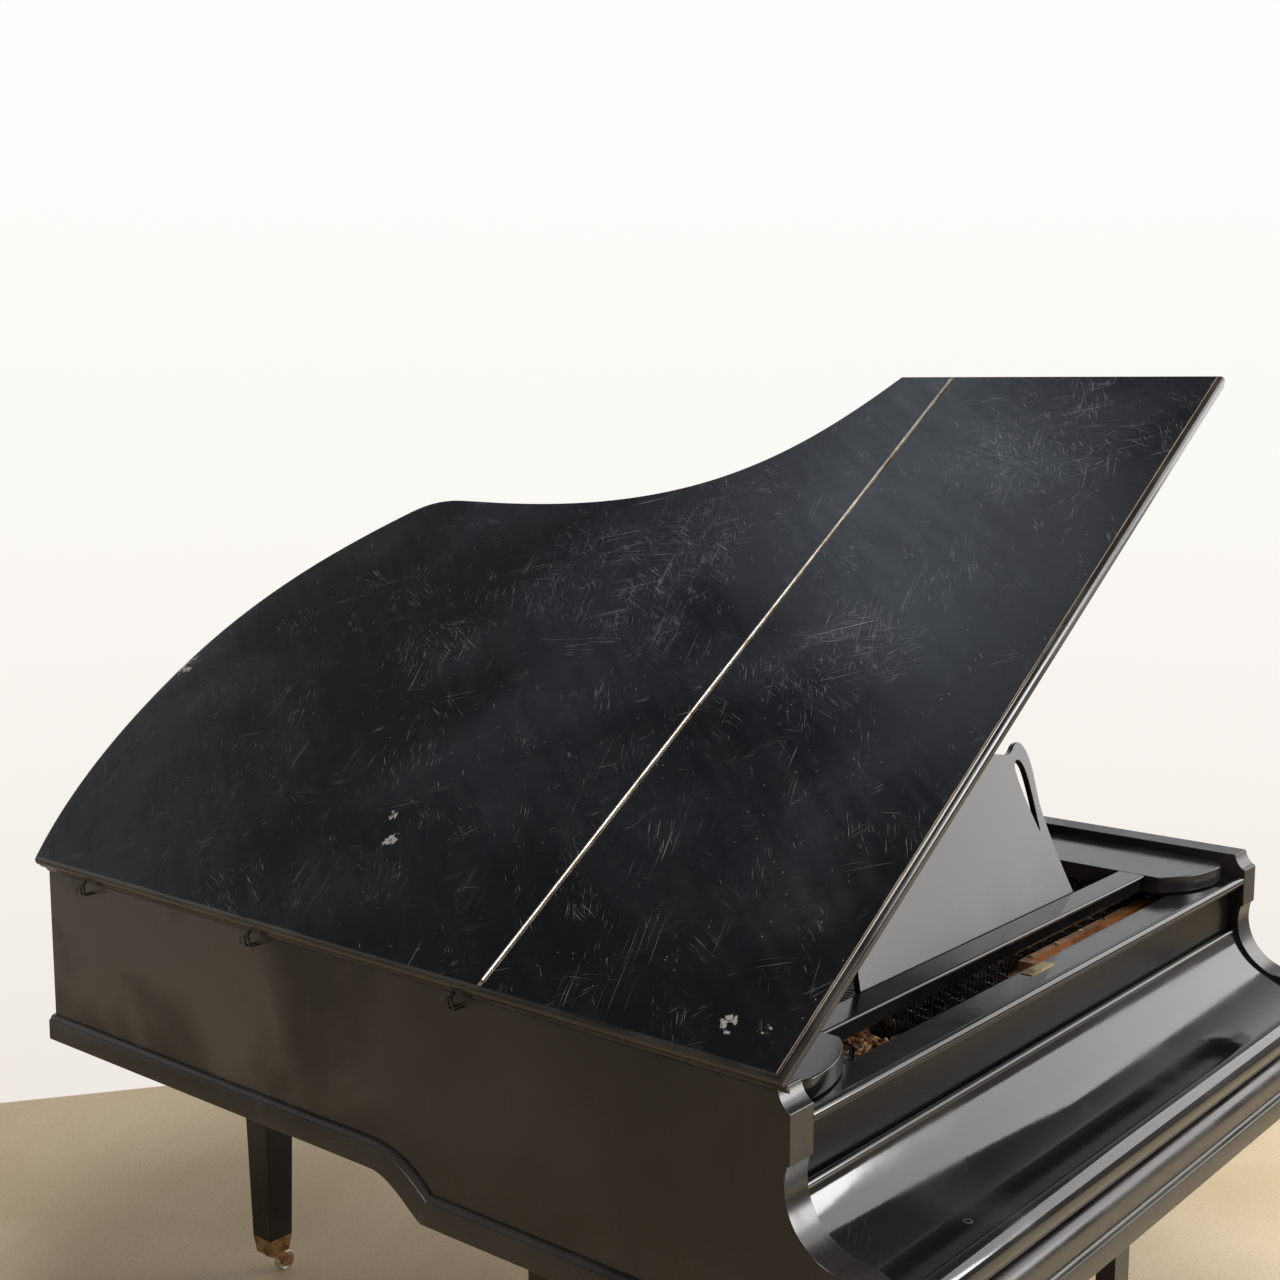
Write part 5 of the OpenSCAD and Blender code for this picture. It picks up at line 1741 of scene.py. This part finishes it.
@dataclass(frozen=True)
class Stringing:
    """Where each note's strings, tuning pins and hitch pins lie.

    Attributes:
        notes: number of notes.
        bass, tenor, middle: the last note of each section.
        wound: the last note with a single wire.
        width: distance between the outermost notes.
        bass_break, bar_break: room between notes where the plate has a break or a bar.
        strike_y: Y where the hammers strike.
        shortest, longest: shortest and longest sounding lengths.
        growth: how much longer a string is an octave down.
        slant_end: the note above which the plain strings run straight.
        bass_pins, high_pins: Y of the first pins below and above the plate's bar.
        row, step: room between rows of pins, and between a note's pins.
        tail: length of the strings behind the bridge.
        plain_z, cross: height of the plain strings, and of the bass strings above them.
        plate_top: height of the plate.
    """

    notes: int = 88
    bass: int = 20
    tenor: int = 46
    middle: int = 67
    wound: int = 8
    width: float = 1170.0
    bass_break: float = 45.0
    bar_break: float = 26.0
    strike_y: float = 395.0
    shortest: float = 52.0
    longest: float = 1120.0
    growth: float = 1.88
    slant_end: int = 60
    bass_pins: float = 108.0
    high_pins: float = 156.0
    row: float = 26.0
    step: float = 7.8
    tail: float = 85.0
    plain_z: float = 886.0
    cross: float = 17.0
    plate_top: float = 880.0

    def strike(self, note: int) -> Vector:
        """Point where the hammer strikes a note.

        Args:
            note: the note, from 1.

        Returns:
            Its X and Y.
        """
        pitch = (self.width - self.bass_break - 2 * self.bar_break) / (self.notes - 4)
        x = -self.width / 2 + (note - 1) * pitch
        x += self.bass_break - pitch if note > self.bass else 0
        x += sum(self.bar_break - pitch for last in (self.tenor, self.middle) if note > last)
        return Vector((x, self.strike_y))

    def bass_bridge(self, note: int) -> Vector:
        """Point of the bass bridge under a note.

        Args:
            note: a note of the bass.

        Returns:
            Its X and Y.
        """
        far = Vector((-self.width / 2 + 295, TAIL - 257))
        near = Vector((-self.width / 2 + 495, TAIL - 497))
        return far.lerp(near, (note - 1) / (self.bass - 1))

    def way(self, note: int) -> Vector:
        """Direction of a note's strings, from the keyboard.

        Args:
            note: the note.

        Returns:
            A direction of length 1.
        """
        if note <= self.bass:
            return (self.bass_bridge(note) - self.strike(note)).normalized()
        share = max(self.slant_end - note, 0) / (self.slant_end - self.bass - 1)
        slant = math.radians(-4 * share)
        return Vector((math.sin(slant), math.cos(slant)))

    def hitch(self, note: int) -> Vector:
        """Point where a note's strings end.

        Args:
            note: the note.

        Returns:
            Its X and Y.
        """
        if note <= self.bass:
            return self.bass_bridge(note) + self.tail * self.way(note)
        grown = self.shortest * self.growth ** ((self.notes - note) / 12)
        length = (grown ** -4 + self.longest ** -4) ** -0.25
        return self.strike(note) + (length * 7 / 8 + self.tail) * self.way(note)

    def pin(self, note: int, wire: int) -> Vector:
        """Place of the tuning pin of one of a note's wires.

        Args:
            note: the note.
            wire: number of the wire, from 0.

        Returns:
            Its X and Y.
        """
        first = self.bass_pins if note <= self.tenor else self.high_pins
        y = first + self.row * (note % 4) + self.step * wire
        way = self.way(note)
        return self.strike(note) + way * (y - self.strike_y) / way.y

    def wires(self, note: int) -> list[float]:
        """Sideways places of a note's wires.

        Args:
            note: the note.

        Returns:
            A place for each wire.
        """
        if note <= self.wound:
            return [0.0]
        return [-2.2, 2.2] if note <= self.bass else [-2.3, 0.0, 2.3]

    def radius(self, note: int) -> float:
        """Radius of a note's wires."""
        return 1.8 - 0.04 * note if note <= self.bass else 0.55

    def height(self, note: int) -> float:
        """Height of a note's wires."""
        return self.plain_z + (self.cross if note <= self.bass else 0)


@dataclass
class StrungBack:
    """Iron plate, pin block, pins, strings, bolts and the small trim beside the pins.

    Attributes:
        lay: where the strings lie.
        pin_top, pin_foot: heights of the tuning pins' ends.
        pin_r: their radius.
        head, head_r: height and foot radius of their square heads.
        coil: rise of one turn of wire round a pin.
        scrolls: the cast scrolls, as X, Y, first angle, size and hand.
        scroll_z: height of the scrolls.
        felt: near left and far right corners of the green felt.
        screw_pitch: room between the screws along the plate's channel.
        screw_rows: Y of their rows.
    """

    lay: Stringing = field(default_factory=Stringing)
    pin_top: float = RIM_TOP - 55
    pin_foot: float = 850.0
    pin_r: float = 3.3
    head: float = 12.0
    head_r: float = 3.1
    coil: float = 1.3
    scrolls: tuple[tuple[float, float, float, float, int], ...] = (
        (-372, 128, 20, 27, 1), (-334, 150, 200, 21, -1), (-318, 118, 90, 15, 1),
        (-352, 178, 250, 18, -1), (-306, 176, 60, 13, 1))
    scroll_z: float = 884.0
    felt: tuple[Flat, Flat] = ((-262, 94), (-30, 104))
    screw_pitch: float = 90.0
    screw_rows: Flat = (92.0, 133.0)

    def strings(self, name: str, notes: range) -> bpy.types.Object:
        """All wires of some notes.

        Args:
            name: the object's name.
            notes: the notes.

        Returns:
            The new object.
        """
        pile = Pile()
        for note in notes:
            z, end = self.lay.height(note), self.lay.hitch(note)
            for k, side in enumerate(self.lay.wires(note)):
                start = self.lay.pin(note, k) + self.lay.way(note) * (self.pin_r + 0.6)
                pile.rod((start.x + side, start.y, z), (end.x + side, end.y, z), self.lay.radius(note), 6)
        return pile.make(name, 80)

    def pins(self) -> bpy.types.Object:
        """Tuning pins with square heads and coils, and the hitch pins.

        Returns:
            The new object.
        """
        pile = Pile()
        for note in range(1, self.lay.notes + 1):
            z = self.lay.height(note)
            for k, side in enumerate(self.lay.wires(note)):
                p = self.lay.pin(note, k)
                x = p.x + side
                neck = self.pin_top - self.head
                pile.rod((x, p.y, self.pin_foot), (x, p.y, neck), self.pin_r, 12)
                pile.rod((x, p.y, neck - 0.5), (x, p.y, self.pin_top), self.head_r, 4, 0.82)
                for turn in range(3):
                    low = z - 1.6 + self.coil * turn
                    pile.rod((x, p.y, low), (x, p.y, low + 1.0), self.pin_r + 0.7, 12)
            end = self.lay.hitch(note)
            pile.rod((end.x, end.y, self.lay.plate_top - 2), (end.x, end.y, z + 4), 2.0, 10)
        return eased_edges(pile.make("tuning_and_hitch_pins", 40), 0.5, 1)

    def ornament(self) -> bpy.types.Object:
        """Cast scrolls and leaves in relief on the plate's bass end.

        Returns:
            The new object.
        """
        pile = Pile()
        z = self.scroll_z
        for x, y, first, size, hand in self.scrolls:
            line, radii = [], []
            for i in range(40):
                t = i / 39
                angle = math.radians(first + hand * 560 * t)
                reach = size * (1 - 0.82 * t)
                line.append((x + reach * math.cos(angle), y + reach * math.sin(angle), z + 5 * t))
                radii.append(3.6 - 2.0 * abs(t - 0.35))
            pile.cord(line, radii, 8)
            for k in range(5):
                angle = math.radians(first + 72 * k)
                tip = (x + 1.45 * size * math.cos(angle), y + 1.3 * size * math.sin(angle), z)
                middle = ((x + tip[0]) / 2, (y + tip[1]) / 2, z + 6)
                pile.cord([(x, y, z), middle, tip], [2, 4.4, 0.8], 8)
        return pile.make("plate_ornament", 50)

    def felt_strip(self) -> bpy.types.Object:
        """Green felt beside the bass pins.

        Returns:
            The new object.
        """
        pile = Pile()
        (x0, y0), (x1, y1) = self.felt
        loop = [(x0, y0), (x1, y0), (x1, y1), (x0, y1)]
        pile.loft([[(x, y, z) for x, y in loop] for z in (879.5, 890.0)])
        return eased_edges(pile.make("felt_strip"), 1.8)

    def screws(self) -> bpy.types.Object:
        """Tapered screw heads along the plate's raised channel.

        Returns:
            The new object.
        """
        pile = Pile()
        rib = (self.lay.pin(self.lay.tenor, 0).x + self.lay.pin(self.lay.tenor + 1, 0).x) / 2
        for k in range(6):
            x = rib + (k + 1) * self.screw_pitch
            for y in self.screw_rows:
                pile.rod((x, y, 899), (x, y, 902.5), 5.2, 20, 0.75)
        return pile.make("channel_screws", 40)

    def build(self) -> None:
        """Makes and dresses the strung back."""
        case, lay = Body.CASE.value, self.lay
        fit(self.strings("wound_strings", range(1, lay.bass + 1)), case, [COPPER],
            ["bass_strings"])
        fit(self.strings("steel_strings", range(lay.bass + 1, lay.notes + 1)), case,
            [WIRE_STEEL], ["plain_strings"])
        fit(self.pins(), case, [PIN_STEEL], ["tuning_pins"])
        fit(self.ornament(), case, [IRON])
        fit(self.screws(), case, [BRASS])
        fit(self.felt_strip(), case, [GREEN_FELT])
        remake("iron_plate", 1.4, IRON)
        remake("plate_bolts", 1.0, BRASS)
        dress("pin_block", BLACK_WOOD)


# ---------- legs and lyre ----------


@dataclass
class Undercarriage:
    """Legs with brass sabots and casters, and the pedal lyre.

    Attributes:
        corners: names of the three legs.
        leg_edge, fork_edge, wheel_edge, sabot_edge: rounding of the legs' and casters' edges.
        lyre_edge, brace_edge, pedal_edge, rod_edge: rounding of the lyre's edges.
    """

    corners: tuple[str, ...] = ("bass", "treble", "tail")
    leg_edge: float = 1.6
    fork_edge: float = 0.6
    wheel_edge: float = 1.2
    sabot_edge: float = 1.0
    lyre_edge: float = 2.0
    brace_edge: float = 0.4
    pedal_edge: float = 2.4
    rod_edge: float = 0.3

    def build(self) -> None:
        """Makes and dresses the legs and the lyre."""
        for corner in self.corners:
            remake(f"leg_{corner}", self.leg_edge, BLACK, 3)
            remake(f"caster_fork_{corner}", self.fork_edge, SABOT_BRASS)
            remake(f"caster_wheel_{corner}", self.wheel_edge, PALE_BRASS, 3)
        remake("sabots", self.sabot_edge, SABOT_BRASS)
        remake("lyre_frame", self.lyre_edge, BLACK, 3)
        remake("lyre_braces", self.brace_edge, BRASS)
        for node in ("soft_pedal", "sustain_pedal"):
            remake(node, self.pedal_edge, BRASS, 3)
        for node in ("soft_pedal_rod", "sustain_pedal_rod"):
            remake(node, self.rod_edge, BRASS)


# ---------- stage ----------


@dataclass(frozen=True)
class Softbox:
    """One soft lamp that faces the object.

    Attributes:
        name: its name.
        way: direction from the object to the lamp.
        distance: how far it stands, in metres.
        size, height: its width and height, in metres.
        radiance: its strength for each square metre.
        tone: its colour.
    """

    name: str
    way: Point
    distance: float
    size: float
    height: float
    radiance: float
    tone: Tone = (1.0, 1.0, 1.0)

    def build(self, aim: Vector) -> None:
        """Places the lamp.

        Args:
            aim: the point that it faces.
        """
        lamp = bpy.data.lights.new(self.name, "AREA")
        lamp.shape = "RECTANGLE"
        lamp.size = self.size
        lamp.size_y = self.height
        lamp.energy = self.radiance * math.pi * self.size * self.height
        lamp.color = self.tone
        made = bpy.data.objects.new(self.name, lamp)
        toward = Vector(self.way).normalized()
        made.location = aim + self.distance * toward
        made.rotation_euler = toward.to_track_quat("Z", "Y").to_euler()
        bpy.context.scene.collection.objects.link(made)


@dataclass(frozen=True)
class Room:
    """Pale walls all round as the world, and a dimmer ceiling away from the window side.

    Attributes:
        walls: heights and tones of the walls, as the camera sees them.
        lit: the same as gloss shows them toward the window side.
        dim: the same as gloss shows them on the other side.
        ambient: tone of the light that the walls give.
        bright_way: direction of the window side.
        turning: facings between which the dim side turns into the lit one.
    """

    walls: tuple[tuple[float, Tone], ...] = (
        (-0.42, (0.85, 0.80, 0.75)), (-0.33, (0.88, 0.83, 0.783)),
        (-0.08, (0.965, 0.945, 0.905)), (0.154, (0.99, 0.985, 0.97)))
    lit: tuple[tuple[float, Tone], ...] = (
        (-0.3, (0.42, 0.38, 0.33)), (-0.12, (0.8, 0.79, 0.78)), (0.32, (0.88, 0.88, 0.88)),
        (0.58, (0.13, 0.134, 0.142)), (0.78, (0.075, 0.078, 0.086)))
    dim: tuple[tuple[float, Tone], ...] = (
        (-0.3, (0.22, 0.19, 0.17)), (-0.12, (0.29, 0.27, 0.255)), (0.32, (0.36, 0.35, 0.34)),
        (0.62, (0.10, 0.10, 0.10)))
    ambient: Tone = (0.31, 0.304, 0.294)
    bright_way: Point = (0.56, 0.83, 0.0)
    turning: Flat = (0.02, 0.42)

    def ramp(self, tree: bpy.types.NodeTree, height: bpy.types.NodeSocket,
             stops: Sequence[tuple[float, Tone]]) -> bpy.types.NodeSocket:
        """Tones that change with the height of a direction.

        Args:
            tree: the world's node tree.
            height: the direction's height, from -1 to 1.
            stops: heights and their tones.

        Returns:
            The tone.
        """
        share = add_node(tree, "MapRange", {"Value": height, "From Min": -1.0, "From Max": 1.0})
        node = add_node(tree, "ValToRGB", {"Fac": share.outputs[0]})
        marks = node.color_ramp.elements
        for k, (place, tone) in enumerate(stops):
            mark = marks[k] if k < 2 else marks.new(1.0)
            mark.position = (place + 1) / 2
            mark.color = (*tone, 1.0)
        return node.outputs[0]

    def build(self) -> None:
        """Makes the world."""
        world = bpy.data.worlds.new("room")
        bpy.context.scene.world = world
        world.use_nodes = True
        tree = world.node_tree

        def mixed(factor: Input, first: Input, second: Input) -> bpy.types.NodeSocket:
            """A tone between two tones."""
            return add_node(tree, "Mix", {MIX_FACTOR: factor, MIX_FIRST: first, MIX_SECOND: second},
                            data_type="RGBA").outputs[MIX_RESULT]

        way = add_node(tree, "TexCoord", {}).outputs["Generated"]
        height = add_node(tree, "SeparateXYZ", {"Vector": way}).outputs["Z"]
        facing = add_node(tree, "VectorMath", {0: way, 1: self.bright_way},
                          operation="DOT_PRODUCT").outputs["Value"]
        walls, lit, dim = (self.ramp(tree, height, stops) for stops in (self.walls, self.lit, self.dim))
        low, high = self.turning
        toward = add_node(tree, "MapRange", {"Value": facing, "From Min": low, "From Max": high})
        seen = mixed(toward.outputs[0], dim, lit)
        path = add_node(tree, "LightPath", {}).outputs
        shiny = add_node(tree, "Math", {0: path["Is Glossy Ray"], 1: path["Is Transmission Ray"]},
                         operation="MAXIMUM").outputs[0]
        soft = mixed(shiny, (*self.ambient, 1.0), seen)
        whole = mixed(path["Is Camera Ray"], soft, walls)
        tree.links.new(whole, tree.nodes["Background"].inputs["Color"])


@dataclass
class Stage:
    """Concrete floor up to a pale wall's foot, the room, soft lamps and the camera.

    Attributes:
        eye: the camera's place, in metres.
        yaw, pitch: the camera's direction, in degrees from X and down from level.
        lens: its focal length in millimetres.
        wall_foot: two points of the wall's foot.
        floor_run: how far the floor runs from them.
        aim: the point that the lamps face, in the case's axes.
        lamps: the lamps.
        room: the surroundings.
    """

    eye: Point = (-2.4383, -1.9441, 1.8185)
    yaw: float = 39.623
    pitch: float = 8.072
    lens: float = 50.823
    wall_foot: tuple[Flat, Flat] = ((-99.0, 2886.0), (398.0, 2550.0))
    floor_run: float = 7000.0
    aim: Point = (0, 500, 900)
    lamps: tuple[Softbox, ...] = (
        Softbox("window", (0.724, -0.608, 0.34), 3.6, 3.7, 2.1, 3.3, (1.0, 0.985, 0.96)),
        Softbox("overhead", (-0.22, -0.22, 0.95), 4.0, 1.7, 1.7, 15.5, (1.0, 0.975, 0.93)),
        Softbox("strip", (0.545, -0.81, 0.21), 3.6, 0.7, 1.3, 12.0),
        Softbox("sheen", (0.47, 0.72, 1.62), 4.0, 1.1, 1.1, 0.95, (0.78, 0.88, 1.0)))
    room: Room = field(default_factory=Room)

    def floor(self) -> None:
        """The floor in front of the wall's foot."""
        a, b = (Vector(p) for p in self.wall_foot)
        along = (b - a).normalized()
        front = Vector((-along.y, along.x)) * -1
        loop = [a - along * self.floor_run, b + along * self.floor_run]
        loop += [p + front * self.floor_run for p in reversed(loop)]
        pile = Pile()
        pile.add([(p.x, p.y, 0.0) for p in loop], [(0, 1, 2, 3)])
        coat(pile.make("floor"), Concrete("concrete_floor"))

    def camera(self) -> None:
        """The camera at the front left, a little above the lid's foot."""
        lens = bpy.data.cameras.new("camera")
        lens.lens = self.lens
        lens.sensor_width = 36.0
        made = bpy.data.objects.new("camera", lens)
        made.location = self.eye
        made.rotation_euler = (math.radians(90 - self.pitch), 0.0, math.radians(self.yaw - 90))
        bpy.context.scene.collection.objects.link(made)
        bpy.context.scene.camera = made

    def build(self) -> None:
        """Sets the stage."""
        self.floor()
        self.room.build()
        for lamp in self.lamps:
            lamp.build(AXES.at(*self.aim))
        self.camera()
        bpy.context.scene.view_settings.view_transform = "Standard"


def main() -> None:
    """Builds the piano's sub-assemblies in order, then its stage."""
    logging.basicConfig(level=logging.INFO, format="%(message)s")
    outline = Outline()
    for assembly in (Case(outline), Lid(outline), MusicDesk(), Keyboard(), StrungBack(),
                     Undercarriage(), Stage()):
        assembly.build()
        LOG.info("built %s", type(assembly).__name__)
    bpy.context.view_layer.update()


if __name__ == "__main__":
    main()
